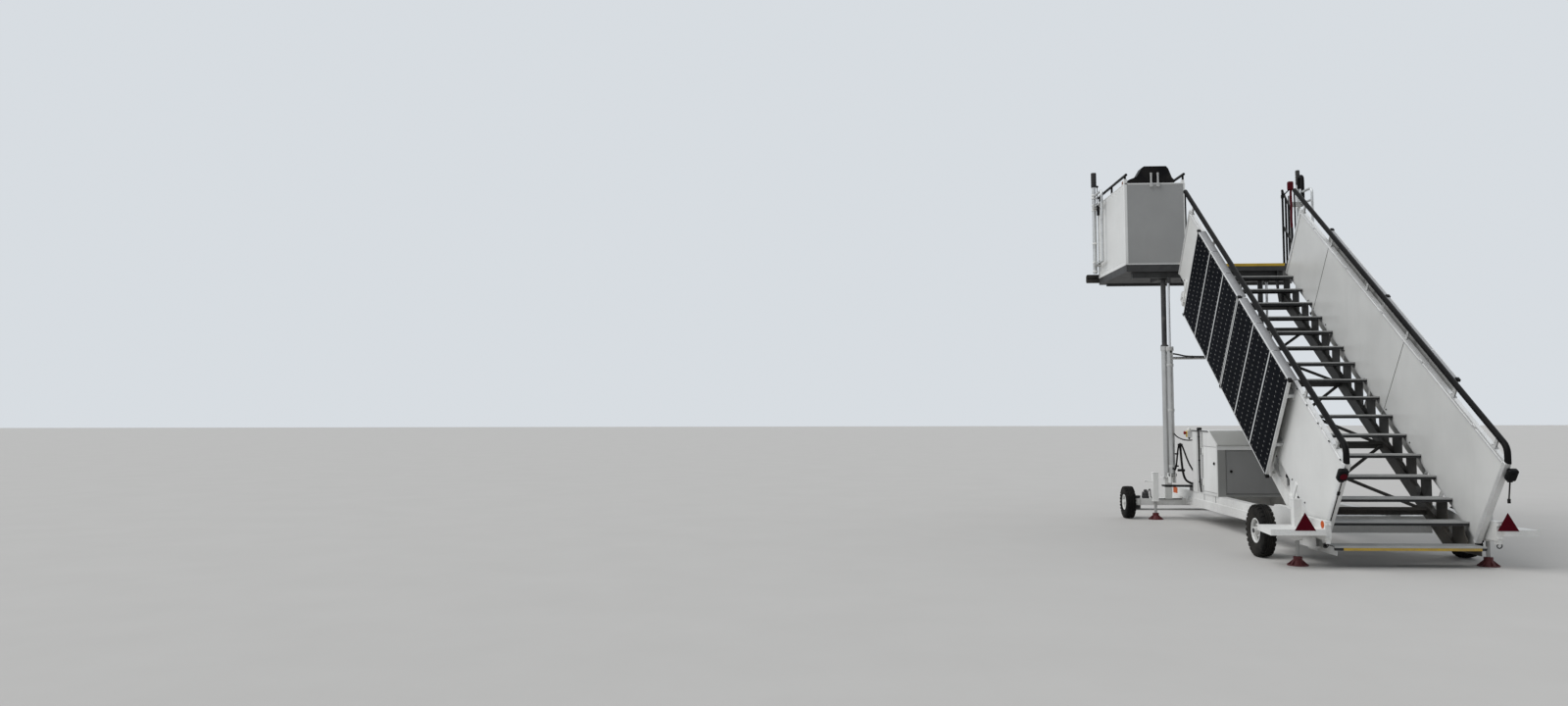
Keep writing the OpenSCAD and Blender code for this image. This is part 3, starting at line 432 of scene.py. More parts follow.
def tread_metal():
    """Treads with a grey scuffed top, and their edges and undersides painted near black as shade."""
    metal = zinc("tread_metal", (0.115, 0.117, 0.113), 110.0, 0.6, 0.15)
    _, _, z = metal.split()
    top = ((z + 0.0005) % RISER) < 0.002
    # All but the top faces get near black: painted shade on the lips and undersides.
    metal.set("Base Color", metal.mixed((0.010, 0.010, 0.011), metal.laid(), top))
    return metal


def jack_finish():
    """Red foot with a plain steel spindle above it, its thread painted as bands of light and shade."""
    coat = painted("jack_red", (0.090, 0.003, 0.007), 0.6, 0.12, 0.0, 0.25)
    _, _, z = coat.split()
    spindle = z > FOOT_TOP
    # Paler and darker bands up the spindle: painted light and shade of thread crests and grooves.
    thread_light_and_shade = coat.ramp((z * 160.0) % 1.0, (0.3, 0.5), (0.6, 1.0))
    steel = coat.mixed((0.20, 0.20, 0.20), (0.42, 0.42, 0.41), thread_light_and_shade)
    coat.set("Base Color", coat.mixed(coat.laid(), steel, spindle))
    return coat


def wall_paint():
    """Grey rear wall of the platform with paler edges on its top, foot and right."""
    paint = painted("wall_grey_enamel", (0.36, 0.36, 0.355), 0.45, 0.25, 0.0, 0.1)
    _, y, z = paint.split()
    inner = y > (DECK_LEFT - REAR_WALL_W + 0.016 - MIDDLE.y)
    field = inner * (z < (DECK_Z + WALL_H - 0.016)) * (z > (DECK_Z + 0.030))
    edge = paint.mixed((0.54, 0.54, 0.53), (0.44, 0.44, 0.43), paint.noise(6.0, 4.0))
    paint.set("Base Color", paint.mixed(edge, paint.laid(), field))
    return paint


def rail_finish():
    """Black rubber-covered rails, and the plain zinc of the corner column and the guards' sleeves."""
    skin = rubbery("deck_rail_finish", (0.006, 0.006, 0.0065), 0.42, 0.06)
    x, y, _ = skin.split()
    near_front = x > (DECK_FRONT - 0.160 - MIDDLE.x)
    at_side = (y < (0.060 - DECK_RIGHT - MIDDLE.y)) | (y > (DECK_LEFT - 0.001 - MIDDLE.y))
    pale = skin.mixed((0.42, 0.42, 0.41), (0.55, 0.55, 0.54), skin.noise(8.0, 4.0))
    skin.set("Base Color", skin.mixed(skin.laid(), pale, near_front * at_side))
    return skin


def cabinet_paint():
    """White cabinet with a grey sloping lid, a grey rear beside its white left edge, and a black front."""
    paint = painted("cabinet_enamel", (0.80, 0.80, 0.78))
    x, y, z = paint.split()
    inside = y < (CABINET_LEFT - 0.006 - MIDDLE.y)
    lid = (x < (CABINET_REAR + 0.300 - MIDDLE.x)) * (z > (CABINET_LID_Z - 0.010)) * inside
    rear = (x < (CABINET_REAR + 0.012 - MIDDLE.x)) * (z < (CABINET_LID_Z - 0.058)) * inside
    front = x > (CABINET_FRONT + 0.004 - MIDDLE.x)
    dust = paint.noise(3.0, 5.0, 0.6)
    grey = paint.mixed((0.22, 0.22, 0.21), (0.29, 0.29, 0.28), dust)
    black = paint.mixed((0.02, 0.02, 0.022), (0.06, 0.058, 0.055), dust)
    lid_grey = paint.mixed((0.36, 0.36, 0.34), (0.46, 0.46, 0.44), dust)
    backed = paint.mixed(paint.mixed(paint.laid(), lid_grey, lid), grey, rear)
    paint.set("Base Color", paint.mixed(backed, black, front))
    return paint


white_paint = painted("white_enamel", (0.86, 0.86, 0.84))
panel_paint = painted("panel_enamel", (0.77, 0.77, 0.75), 0.33, 0.16, 0.1, 0.5)
door_grey = painted("door_grey_enamel", (0.24, 0.24, 0.235), 0.5, 0.3, 0.3, 0.7)
foot_red = painted("red_enamel", (0.090, 0.003, 0.007), 0.6, 0.12, 0.0, 0.25)
switch_yellow = painted("switch_yellow", (0.72, 0.48, 0.03), 0.4, 0.3, 0.9, 1.2)
zinc_grey = zinc("galvanised_steel", (0.62, 0.63, 0.63))
reflector_lens = reflex()
guide_steel = mast_steel()
yellow_paint = painted("worn_yellow", (0.62, 0.40, 0.03), 0.5, 0.9, 0.0, 0.4)
seal_grey = rubbery("joint_seal", (0.20, 0.20, 0.195), 0.6, 0.1)
bracket_grey = painted("bracket_paint", (0.55, 0.55, 0.54), 0.45, 0.3, 0.0, 0.5)
webbing_red = rubbery("red_webbing", (0.085, 0.004, 0.010), 0.8, 0.10, 700.0)
button_red = rubbery("red_button", (0.22, 0.010, 0.012), 0.4, 0.10, 500.0)
rust_brown = painted("rusted_pad", (0.20, 0.085, 0.045), 0.8, 0.7, 0.0, 0.5)
dark_steel = zinc("dark_steel", (0.055, 0.055, 0.055), 90.0, 0.6, 0.3)
slope_alloy = drawn_metal("edge_extrusion", (0.82, 0.82, 0.81), (0, SLOPE, 0), 0.38, 0.40)
cover_alloy = drawn_metal("cover_strip_metal", (0.40, 0.40, 0.405), (0, SLOPE, 0), 0.42, 0.4)
worn_edge = drawn_metal("worn_tread_edge", (0.46, 0.46, 0.45), (0, 0, math.pi / 2), 0.5, 0.3)
alloy = drawn_metal("alloy_extrusion", (0.82, 0.82, 0.81), (0, 0, 0), 0.35, 0.8)
upright_alloy = drawn_metal("drawn_steel_tube", (0.55, 0.55, 0.54), (0, math.pi / 2, 0), 0.32, 0.8)
tyre_rubber = rubbery("tyre_rubber", (0.011, 0.011, 0.011), 0.85, 0.30, 180.0)
rail_rubber = rubbery("rail_grip", (0.006, 0.006, 0.0065), 0.42, 0.06)
bumper_rubber = rubbery("bumper_rubber", (0.022, 0.022, 0.022), 0.75, 0.35)
sleeve_rubber = rubbery("sleeve_rubber", (0.045, 0.045, 0.047), 0.7, 0.3)
black_plastic = rubbery("black_plastic", (0.007, 0.007, 0.008), 0.42, 0.15, 500.0)
battery_case = rubbery("battery_case", (0.03, 0.03, 0.035), 0.5, 0.4, 300.0)
frame_grey = stringer_paint()
tread_grey = tread_metal()
jack_red = jack_finish()
cabinet_enamel = cabinet_paint()
deck_rail_skin = rail_finish()
wall_grey = wall_paint()
solar_cells = solar_glass()
deck_plate = deck_floor()


def dress(finish, *names):
    """Gives CAD nodes their finish."""
    for name in names:
        for slot in nodes[name].material_slots:
            slot.material = finish.material


dress(white_paint, "chassis_frame", "rear_shelves", "cabinet_side_door", "drawbar_yoke")
dress(cabinet_enamel, "cabinet")
dress(panel_paint, "balustrade_panels", "deck_walls")
dress(wall_grey, "rear_wall")
dress(door_grey, "cabinet_door")
dress(reflector_lens, "reflectors")
dress(jack_red, "jack_front_left", "jack_front_right", "jack_rear_left", "jack_rear_right")
dress(frame_grey, "flight_frame")
dress(zinc_grey, "solar_mounts", "guard_left", "guard_right")
dress(deck_rail_skin, "deck_rails")
dress(dark_steel, "deck", "rear_stubs", "knuckle_left", "knuckle_right", "drawbar")
dress(bracket_grey, "tie_rod")
dress(tread_grey, "treads")
dress(slope_alloy, "balustrade_frames")
dress(upright_alloy, "outer_masts", "lift_barrels")
dress(guide_steel, "inner_masts")
dress(white_paint, "front_rim_left", "front_rim_right", "rear_rim_left", "rear_rim_right")
dress(tyre_rubber, "front_tyre_left", "front_tyre_right", "rear_tyre_left", "rear_tyre_right")
dress(rail_rubber, "handrails")
dress(black_plastic, "console", "strap_boxes", "pump_unit")
dress(bumper_rubber, "front_bumper")
dress(battery_case, "battery_pack")
dress(solar_cells, "solar_modules")


# Modelling by hand
def clear_selection():
    bpy.ops.object.select_all(action="DESELECT")


def pick(piece):
    clear_selection()
    piece.select_set(True)
    bpy.context.view_layer.objects.active = piece


def edit(piece, kind="FACE"):
    """Opens a mesh for editing with nothing selected."""
    pick(piece)
    bpy.ops.object.mode_set(mode="EDIT")
    bpy.ops.mesh.select_mode(type=kind)
    bpy.ops.mesh.select_all(action="DESELECT")


def choose_faces(piece, wanted):
    """Opens a mesh for editing with the faces selected whose centre and normal pass a test."""
    bpy.ops.object.mode_set(mode="OBJECT")
    for face in piece.data.polygons:
        face.select = wanted(face.center, face.normal)
    bpy.ops.object.mode_set(mode="EDIT")


def done():
    """Closes the mesh that is open for editing."""
    bpy.ops.object.mode_set(mode="OBJECT")


def settle(piece, matrix=None):
    """Puts the piece's place into its mesh."""
    if matrix is not None:
        piece.matrix_world = matrix @ piece.matrix_world
    pick(piece)
    bpy.ops.object.transform_apply(location=True, rotation=True, scale=True)
    return piece


def outward(piece):
    """Merges doubled corners and turns all faces outwards."""
    edit(piece)
    bpy.ops.mesh.select_all(action="SELECT")
    bpy.ops.mesh.remove_doubles(threshold=0.00005)
    bpy.ops.mesh.normals_make_consistent(inside=False)
    done()
    return piece


def block(low, high, edge=0.002, segments=1):
    """A bar or plate between two corners, its arrises taken off."""
    low, high = Vector(low), Vector(high)
    clear_selection()
    bpy.ops.mesh.primitive_cube_add(size=1.0, location=(low + high) / 2, scale=high - low)
    piece = bpy.context.object
    settle(piece)
    edit(piece)
    bpy.ops.mesh.select_all(action="SELECT")
    bpy.ops.mesh.bevel(offset=edge, segments=segments, affect="EDGES")
    done()
    return piece


def cut_shape(points, depth, edge):
    """A shape drawn point by point in x and z, and pulled to a depth along y."""
    clear_selection()
    bpy.ops.mesh.primitive_circle_add(vertices=len(points), radius=1.0, fill_type="NGON")
    piece = bpy.context.object
    for corner, (x, z) in zip(piece.data.vertices, points):
        corner.co = (x, 0.0, z)
    edit(piece)
    bpy.ops.mesh.select_all(action="SELECT")
    bpy.ops.mesh.extrude_region_move(TRANSFORM_OT_translate={"value": (0.0, depth, 0.0)})
    bpy.ops.mesh.select_all(action="SELECT")
    bpy.ops.mesh.normals_make_consistent(inside=False)
    bpy.ops.mesh.bevel(offset=edge, segments=1, affect="EDGES")
    done()
    return piece


def turned_shape(points, steps, centre=(0, 0, 0), axis=ACROSS):
    """A closed outline, given as distance from the axis and place along it, spun round the axis."""
    clear_selection()
    bpy.ops.mesh.primitive_circle_add(vertices=len(points), radius=1.0, fill_type="NOTHING")
    piece = bpy.context.object
    along = Vector(axis).normalized()
    out = along.orthogonal().normalized()
    for corner, (radius, place) in zip(piece.data.vertices, points):
        corner.co = out * radius + along * place
    edit(piece, "VERT")
    bpy.ops.mesh.select_all(action="SELECT")
    bpy.ops.mesh.spin(steps=steps, angle=2 * math.pi, center=(0.0, 0.0, 0.0), axis=along)
    done()
    outward(piece)
    return settle(piece, Matrix.Translation(centre))


def round_bar(start, end, radius, sides=16, edge=0.0015):
    """A turned bar between two points with its ends chamfered."""
    start, end = Vector(start), Vector(end)
    clear_selection()
    bpy.ops.mesh.primitive_cylinder_add(vertices=sides, radius=radius, depth=(end - start).length)
    piece = bpy.context.object
    edit(piece)
    choose_faces(piece, lambda centre, normal: abs(normal.z) > 0.9)
    bpy.ops.mesh.bevel(offset=min(edge, radius * 0.4), segments=1, affect="EDGES")
    done()
    turn = (end - start).to_track_quat("Z", "Y").to_matrix().to_4x4()
    return settle(piece, Matrix.Translation((start + end) / 2) @ turn)


def bent_tube(points, radius, resolution=3, sides=3):
    """A tube through a row of points, bent smoothly."""
    clear_selection()
    bpy.ops.curve.primitive_nurbs_path_add()
    path = bpy.context.object
    path.data.splines.clear()
    line = path.data.splines.new("NURBS")
    line.points.add(len(points) - 1)
    for point, place in zip(line.points, points):
        point.co = (*place, 1.0)
    line.use_endpoint_u = True
    line.order_u = 4
    path.data.resolution_u = resolution
    path.data.bevel_depth = radius
    path.data.bevel_resolution = sides
    path.data.use_fill_caps = True
    pick(path)
    bpy.ops.object.convert(target="MESH")
    return outward(bpy.context.object)


def again(piece, matrix):
    """A copy with its own mesh, moved by a matrix."""
    twin = piece.copy()
    twin.data = piece.data.copy()
    bpy.context.collection.objects.link(twin)
    return settle(twin, matrix)


def joined(*parts):
    """Several meshes made one."""
    pick(parts[0])
    for part in parts:
        part.select_set(True)
    bpy.ops.object.join()
    return bpy.context.object


def repeated(model, places):
    """One mesh made of copies of a model, which itself goes."""
    copies = [again(model, place) for place in places]
    bpy.data.objects.remove(model)
    return joined(*copies)


def sided(side, low, high, edge=0.002, segments=1):
    """A block given by its corners on the left side, or its mirror image on the right."""
    near, far = sorted((side * low[1], side * high[1]))
    return block((low[0], near, low[2]), (high[0], far, high[2]), edge, segments)


def sunk(piece, wanted, thickness, depth):
    """Insets the faces that pass a test, and moves them in or out."""
    edit(piece)
    choose_faces(piece, wanted)
    bpy.ops.mesh.inset(thickness=thickness, depth=depth)
    done()
    return piece


def collar(inner, outer, half, edge, middle=0.0):
    """The outline of a collar round an axis, its outer corners taken off."""
    low, high = middle - half, middle + half
    return [(inner, low), (outer - edge, low), (outer, low + 0.003), (outer, high - 0.003),
            (outer - edge, high), (inner, high)]


def piece(name, made, body, finish, smooth=30.0):
    """Names a finished piece, gives it its finish and lets it ride on a body."""
    made.name = name
    made.data.name = name
    made.data.materials.clear()
    made.data.materials.append(finish.material)
    settle(made)
    bpy.ops.object.shade_smooth_by_angle(angle=math.radians(smooth))
    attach(made, body)


def body_under(node):
    """The body that a CAD node rides on."""
    return body_of(nodes[node])[0]


def bolt(radius, height):
    """A hexagon head on a washer, standing on z."""
    washer_t = 0.002
    clear_selection()
    bpy.ops.mesh.primitive_cylinder_add(vertices=12, radius=radius * 1.45, depth=washer_t,
                                        location=(0, 0, washer_t / 2))
    washer = bpy.context.object
    bpy.ops.mesh.primitive_cylinder_add(vertices=6, radius=radius, depth=height,
                                        location=(0, 0, washer_t + height / 2))
    head = sunk(bpy.context.object, lambda centre, normal: normal.z > 0.9, radius * 0.16, radius * 0.12)
    return settle(joined(head, washer))


def facing(direction, place):
    """A matrix that stands something on z at a place, looking along a direction."""
    return Matrix.Translation(place) @ Vector(direction).to_track_quat("Z", "Y").to_matrix().to_4x4()


# Wheels
def wheel(side_name, axle):
    """Tyre with shoulder lugs and ribs, rounded rim lip, grey dish, hub cap and nuts."""
    tyre_node = f"{axle}_tyre_{side_name}"
    low, high = (Vector(corner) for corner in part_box(tyre_node))
    rim_low, rim_high = (Vector(corner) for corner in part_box(f"{axle}_rim_{side_name}"))
    place = Matrix.Translation((low + high) / 2)
    radius = (high.z - low.z) / 2
    width = high.y - low.y
    inner = (rim_high.z - rim_low.z) / 2
    wall = radius - inner
    half = [(inner, 0.40), (inner + 0.05 * wall, 0.43), (inner + 0.16 * wall, 0.445),
            (inner + 0.22 * wall, 0.47), (inner + 0.48 * wall, 0.497), (inner + 0.70 * wall, 0.49),
            (radius - 0.026, 0.465), (radius - 0.012, 0.425), (radius - 0.010, 0.255),
            (radius - 0.014, 0.245), (radius - 0.014, 0.215), (radius - 0.002, 0.205),
            (radius - 0.001, 0.095), (radius - 0.013, 0.085), (radius - 0.013, 0.055), (radius, 0.045)]
    outline = [(r, v * width) for r, v in half] + [(r, -v * width) for r, v in reversed(half)]
    steps, lug = 56, 0.0085
    tyre = turned_shape(outline, steps)

    def shoulder(centre, normal):
        out = math.hypot(centre.x, centre.z)
        around = math.degrees(math.atan2(centre.z, centre.x)) % 360.0
        shift = 1 if centre.y > 0 else 0
        on_band = radius - 0.030 < out < radius - 0.004 and 0.25 * width < abs(centre.y) < 0.475 * width
        return on_band and (int(around * steps / 360.0) + shift) % 2 == 0

    edit(tyre)
    choose_faces(tyre, shoulder)
    bpy.ops.mesh.extrude_region_shrink_fatten(TRANSFORM_OT_shrink_fatten={"value": lug})
    done()
    body = body_under(tyre_node)
    piece(f"{axle}_{side_name}_tyre", settle(tyre, place), body, tyre_rubber, 25.0)
    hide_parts(tyre_node)
    face = 0.40 * width
    lip = [(inner - 0.001, face - 0.016), (inner + 0.004, face - 0.004), (inner + 0.003, face + 0.004),
           (inner - 0.006, face + 0.005), (inner - 0.012, face - 0.004), (inner - 0.012, face - 0.018)]
    dish = [(inner - 0.011, face - 0.045), (inner - 0.011, face - 0.038), (inner * 0.72, face - 0.030),
            (inner * 0.62, face - 0.022), (inner * 0.34, face - 0.022), (inner * 0.34, face - 0.030),
            (inner * 0.6, face - 0.036)]
    hub = 0.5 * width
    cap = [(0.0, hub + 0.010), (0.014, hub + 0.009), (0.024, hub + 0.002), (0.027, hub - 0.010),
           (0.027, face - 0.030), (0.0, face - 0.030)]
    nuts = 5
    nut_circle = inner * 0.48
    trim, dishes = [], []
    for way in SIDES:
        trim.append(turned_shape([(r, v * way) for r, v in lip], 40))
        trim.append(turned_shape([(r, v * way) for r, v in cap], 20))
        dishes.append(turned_shape([(r, v * way) for r, v in dish], 40))
        spots = []
        for k in range(nuts):
            angle = 2 * math.pi * k / nuts + 0.3
            spot = (nut_circle * math.cos(angle), way * (face - 0.023), nut_circle * math.sin(angle))
            spots.append(facing((0, way, 0), spot))
        trim.append(repeated(bolt(0.010, 0.012), spots))
    piece(f"{axle}_{side_name}_wheel_trim", settle(joined(*trim), place), body, white_paint, 35.0)
    piece(f"{axle}_{side_name}_wheel_dish", settle(joined(*dishes), place), body, door_grey, 35.0)


for axle in ("front", "rear"):
    for side_name in ("left", "right"):
        wheel(side_name, axle)


# The flight
def nosings():
    """The treads' lower lips, worn pale edges and top ribs, and the first and last step's yellow strips."""
    half = TREAD_W / 2
    steps = [Matrix.Translation(at(k * GOING, 0, (k + 1) * RISER)) for k in range(STEPS)]
    skirts = [block((x, -half + 0.003, -LIP - 0.008), (x + 0.003, half - 0.003, -LIP + 0.001), 0.0008)
              for x in (0.0015, TREAD_D - 0.0045)]
    piece("tread_skirts", repeated(joined(*skirts), steps), "flight", dark_steel)
    profile = [(-0.0015, -0.013), (-0.0015, 0.0015), (0.030, 0.0015), (0.030, -0.001), (0.001, -0.001),
               (0.001, -0.013)]
    edge = settle(cut_shape(profile, TREAD_W - 0.004, 0.0004), Matrix.Translation((0, -half + 0.002, 0)))
    ribs = [block((x, -half + 0.012, -0.0005), (x + 0.006, half - 0.012, 0.0022), 0.0008)
            for x in (0.042 + 0.026 * k for k in range(8))]
    piece("tread_nosings", repeated(joined(edge, *ribs), steps), "flight", worn_edge)
    strip = block(at(-0.0035, -half + 0.045, RISER - LIP - 0.008),
                  at(0.001, half - 0.085, RISER - 0.014), 0.001)
    piece("first_step_strip", strip, "flight", yellow_paint)
    profile = [(-0.003, -0.034), (-0.003, 0.002), (0.048, 0.002), (0.048, -0.0005), (0.0005, -0.0005),
               (0.0005, -0.034)]
    edge = settle(cut_shape(profile, 2 * PANEL_IN, 0.0005), Matrix.Translation(at(DECK_X, -PANEL_IN, DECK_Z)))
    piece("platform_edge_strip", edge, "platform", yellow_paint)


def balustrade_trim():
    """Joints of the panels, bolts along them, and the edge frames' corner pieces and clips."""
    start, end = PANEL_S
    foot, top = PANEL_N
    seams = []
    for side in SIDES:
        for seam in (2.29, 4.46):
            for y in (side * (PANEL_IN - 0.0012), side * (PANEL_OUT - 0.0003)):
                seams.append(block((seam - 0.003, y - 0.0008, foot + 0.004),
                                   (seam + 0.003, y + 0.0018, top - 0.002), 0.0004))
    piece("panel_joints", settle(joined(*seams), FLIGHT), "flight", seal_grey)
    places = []
    for side in SIDES:
        for s in (0.30, 0.67, 1.03, 1.6, 2.2, 2.8, 3.4, 4.0, 4.6, 5.2):
            places.append(facing((0, side, 0), (s, side * PANEL_OUT, -0.035)))
            places.append(facing((0, -side, 0), (s + 0.05, side * PANEL_IN, -0.04)))
        for s in (0.24, 0.52, 0.80, 1.10, 1.38):
            places.append(facing((0, side, 0), (s, side * (RAIL_Y + 0.020), 0.822)))
    piece("panel_bolts", settle(repeated(bolt(0.0065, 0.005), places), FLIGHT), "flight", dark_steel)
    caps = []
    for side in SIDES:
        for s, inner in ((start - 0.0455, 0.6655), (end - 0.0005, 0.6795)):
            for low, high in ((top + 0.038, top + 0.049), (foot - 0.0215, foot - 0.012)):
                caps.append(sided(side, (s, inner, low), (s + 0.046, PANEL_OUT + 0.0095, high), 0.003))
        for s in (0.72, 1.85, 2.85, 3.88, 4.95):
            caps.append(sided(side, (s, RAIL_Y - 0.0225, 0.809), (s + 0.055, RAIL_Y + 0.0225, 0.836), 0.003))
    piece("edge_frame_caps", settle(joined(*caps), FLIGHT), "flight", slope_alloy)


def rail_brackets():
    """Feet and cheeks of the posts between edge frames and handrails, and the handrails' sleeves."""
    foot = block((-0.032, -0.020, 0.845), (0.032, 0.020, 0.851), 0.0015)
    web = cut_shape([(-0.022, 0.850), (0.022, 0.850), (0.019, 0.910), (0.013, 0.941), (-0.013, 0.941),
                     (-0.019, 0.910)], 0.004, 0.0008)
    cheek = again(web, Matrix.Translation((0, 0.0042, 0)))
    settle(web, Matrix.Translation((0, -0.0082, 0)))
    places = [facing(UP, (x, 0.012, 0.851)) for x in (-0.024, 0.024)]
    places += [facing((0, way, 0), (0, way * 0.0082, 0.895)) for way in SIDES]
    model = joined(foot, web, cheek, repeated(bolt(0.006, 0.004), places))
    posts = [FLIGHT @ Matrix.Translation((s, side * RAIL_Y, 0)) for side in SIDES for s in POSTS]
    piece("handrail_brackets", repeated(model, posts), "flight", bracket_grey)
    sleeves = [turned_shape(collar(0.0195, 0.0232, 0.012, 0.001), 24, (s, side * RAIL_Y, 0.96), AHEAD)
               for side in SIDES for s in (0.375, 1.62, 2.78, 3.94, 5.79)]
    piece("handrail_joints", settle(joined(*sleeves), FLIGHT), "flight", rail_rubber)


def solar_frames():
    """The narrow alloy frame round each solar module, its clamps and brackets, and the cover on its top."""
    proud = 0.001
    clear_selection()
    bpy.ops.mesh.primitive_plane_add(size=1.0)
    model = bpy.context.object
    for corner in model.data.vertices:
        x, y, _ = corner.co
        corner.co = ((x + 0.5) * (MODULE_W + 2 * proud) - proud, 0.0,
                     (y - 0.5) * (MODULE_L + 2 * proud) + proud)
    edit(model)
    bpy.ops.mesh.select_all(action="SELECT")
    bpy.ops.mesh.inset(thickness=0.011, depth=0.0)
    bpy.ops.mesh.delete(type="FACE")
    bpy.ops.mesh.select_all(action="SELECT")
    bpy.ops.mesh.extrude_region_move(TRANSFORM_OT_translate={"value": (0.0, MODULE_T + 0.004, 0.0)})
    done()
    outward(model)
    places = [FLIGHT @ Matrix.Translation((s, y, MODULE_TOP))
              for y in (MODULE_Y - 0.002, -MODULE_Y - MODULE_T - 0.002) for s in MODULES]
    piece("solar_module_frames", repeated(model, places), "flight", slope_alloy)
    clamps, brackets, covers = [], [], []
    for side in SIDES:
        for s in (MODULES[0] - 0.002, MODULES[2] + MODULE_W + 0.015, MODULES[5] + MODULE_W + 0.002):
            for n in (MODULE_TOP, MODULE_TOP - MODULE_L):
                clamps.append(sided(side, (s - 0.024, MODULE_Y - 0.004, n - 0.016),
                                    (s + 0.024, MODULE_Y + MODULE_T + 0.005, n + 0.012), 0.004, 2))
        for s in (1.45, 3.05, 4.65):
            for n in (0.110, 0.710):
                for out, low, high in ((MODULE_Y + 0.002, -0.016, -0.006), (PANEL_OUT + 0.007, -0.05, 0.05)):
                    brackets.append(sided(side, (s - 0.03, PANEL_OUT - 0.001, n + low),
                                          (s + 0.03, out, n + high)))
        for s in MODULES:
            covers.append(sided(side, (s + 0.003, PANEL_OUT + 0.010, MODULE_TOP - 0.008),
                                (s + MODULE_W - 0.003, MODULE_Y + 0.024, MODULE_TOP + 0.002)))
    piece("solar_clamps", settle(joined(*clamps), FLIGHT), "flight", black_plastic)
    piece("solar_mount_brackets", settle(joined(*brackets), FLIGHT), "flight", alloy)
    piece("solar_cover_strips", settle(joined(*covers), FLIGHT), "flight", cover_alloy)


# The platform
def wall_trim():
    """Folded edges, hems and rivets of the platform's walls."""
    top = DECK_Z + WALL_H
    left, right = DECK_LEFT, DECK_LEFT - REAR_WALL_W
    spans = (
        ((DECK_X + 0.024, left - 0.041, top - 0.004), (DECK_FRONT, left + 0.004, top + 0.010)),
        ((DECK_X + 0.024, right - 0.004, top - 0.004), (DECK_X + 0.071, left, top + 0.010)),
        ((DECK_X + 0.026, left - 0.030, DECK_Z), (DECK_X + 0.060, left + 0.004, top)),
        ((DECK_X + 0.026, right - 0.004, DECK_Z), (DECK_X + 0.069, right + 0.016, top)),
        ((DECK_X + 0.025, right, DECK_Z + 0.001), (DECK_X + 0.034, left - 0.028, DECK_Z + 0.012)),
        ((DECK_X + 0.050, left - 0.004, DECK_Z + 0.001), (DECK_FRONT - 0.010, left + 0.004, DECK_Z + 0.040)),
        ((DECK_FRONT - 0.024, left - 0.041, DECK_Z), (DECK_FRONT + 0.003, left + 0.004, top + 0.004)),
    )
    hems = [block(at(*low), at(*high)) for low, high in spans]
    piece("wall_hems", joined(*hems), "platform", white_paint)
    places = [facing(ACROSS, at(DECK_X + 0.12 + 0.19 * k, left, z))
              for k in range(9) for z in (DECK_Z + 0.06, top - 0.05)]
    piece("wall_rivets", repeated(bolt(0.005, 0.003), places), "platform", alloy)


def floor_plate():
    """The anti-slip floor between the walls and the rails."""
    back, wall_front, front = DECK_X + 0.050, DECK_X + 0.068, DECK_FRONT - 0.004
    left, wall_end = DECK_LEFT - 0.037, DECK_LEFT - REAR_WALL_W - 0.010
    plate = cut_shape([(back, -0.72), (front, -1.37), (front, left), (wall_front, left),
                       (wall_front, wall_end), (back, wall_end)], 0.004, 0.001)
    lying = Matrix(((1, 0, 0, 0), (0, 0, 1, 0), (0, 1, 0, 0), (0, 0, 0, 1)))
    settle(plate, Matrix.Translation(at(0, 0, DECK_Z)) @ lying)
    piece("floor_plate", outward(plate), "platform", deck_plate)


def webbing(points, width):
    """A flat strap along a row of points, its width across the stairs."""
    rows = len(points) - 1
    clear_selection()
    bpy.ops.mesh.primitive_grid_add(x_subdivisions=1, y_subdivisions=rows, size=1.0)
    strap = bpy.context.object
    for corner in strap.data.vertices:
        row = round((corner.co.y + 0.5) * rows)
        corner.co = points[row] + Vector((0.0, math.copysign(width / 2, corner.co.x), 0.0))
    edit(strap)
    bpy.ops.mesh.select_all(action="SELECT")
    bpy.ops.mesh.extrude_region_move(TRANSFORM_OT_translate={"value": (-BELT_T, 0.0, 0.0)})
    bpy.ops.mesh.select_all(action="SELECT")
    bpy.ops.mesh.normals_make_consistent(inside=False)
    done()
    return strap


def cassette(case):
    """Sinks the two faces of a belt's case."""
    return sunk(case, lambda centre, normal: abs(normal.x) > 0.99, 0.010, -0.003)


def handrail_grips():
    """The thick rubber profile drawn over both handrails."""
    grip = bpy.data.objects.new("grip", nodes["handrails"].data.copy())
    bpy.context.collection.objects.link(grip)
    edit(grip)
    bpy.ops.mesh.select_all(action="SELECT")
    bpy.ops.transform.shrink_fatten(value=GRIP_T)
    done()
    piece("handrail_grips", grip, "flight", rail_rubber)


def handrail_returns():
    """The upper ends of both handrails, bent down to the end posts of the balustrades."""
    line = ((4.190, 4.302), (4.207, 4.308), (4.216, 4.290), (4.217, 4.250), (4.214, 4.100), (4.210, 3.900),
            (4.206, 3.715))
    tubes = [bent_tube([at(x, side * RETURN_Y, z) for x, z in line], 0.010, resolution=4) for side in SIDES]
    piece("handrail_returns", joined(*tubes), "flight", rail_rubber)


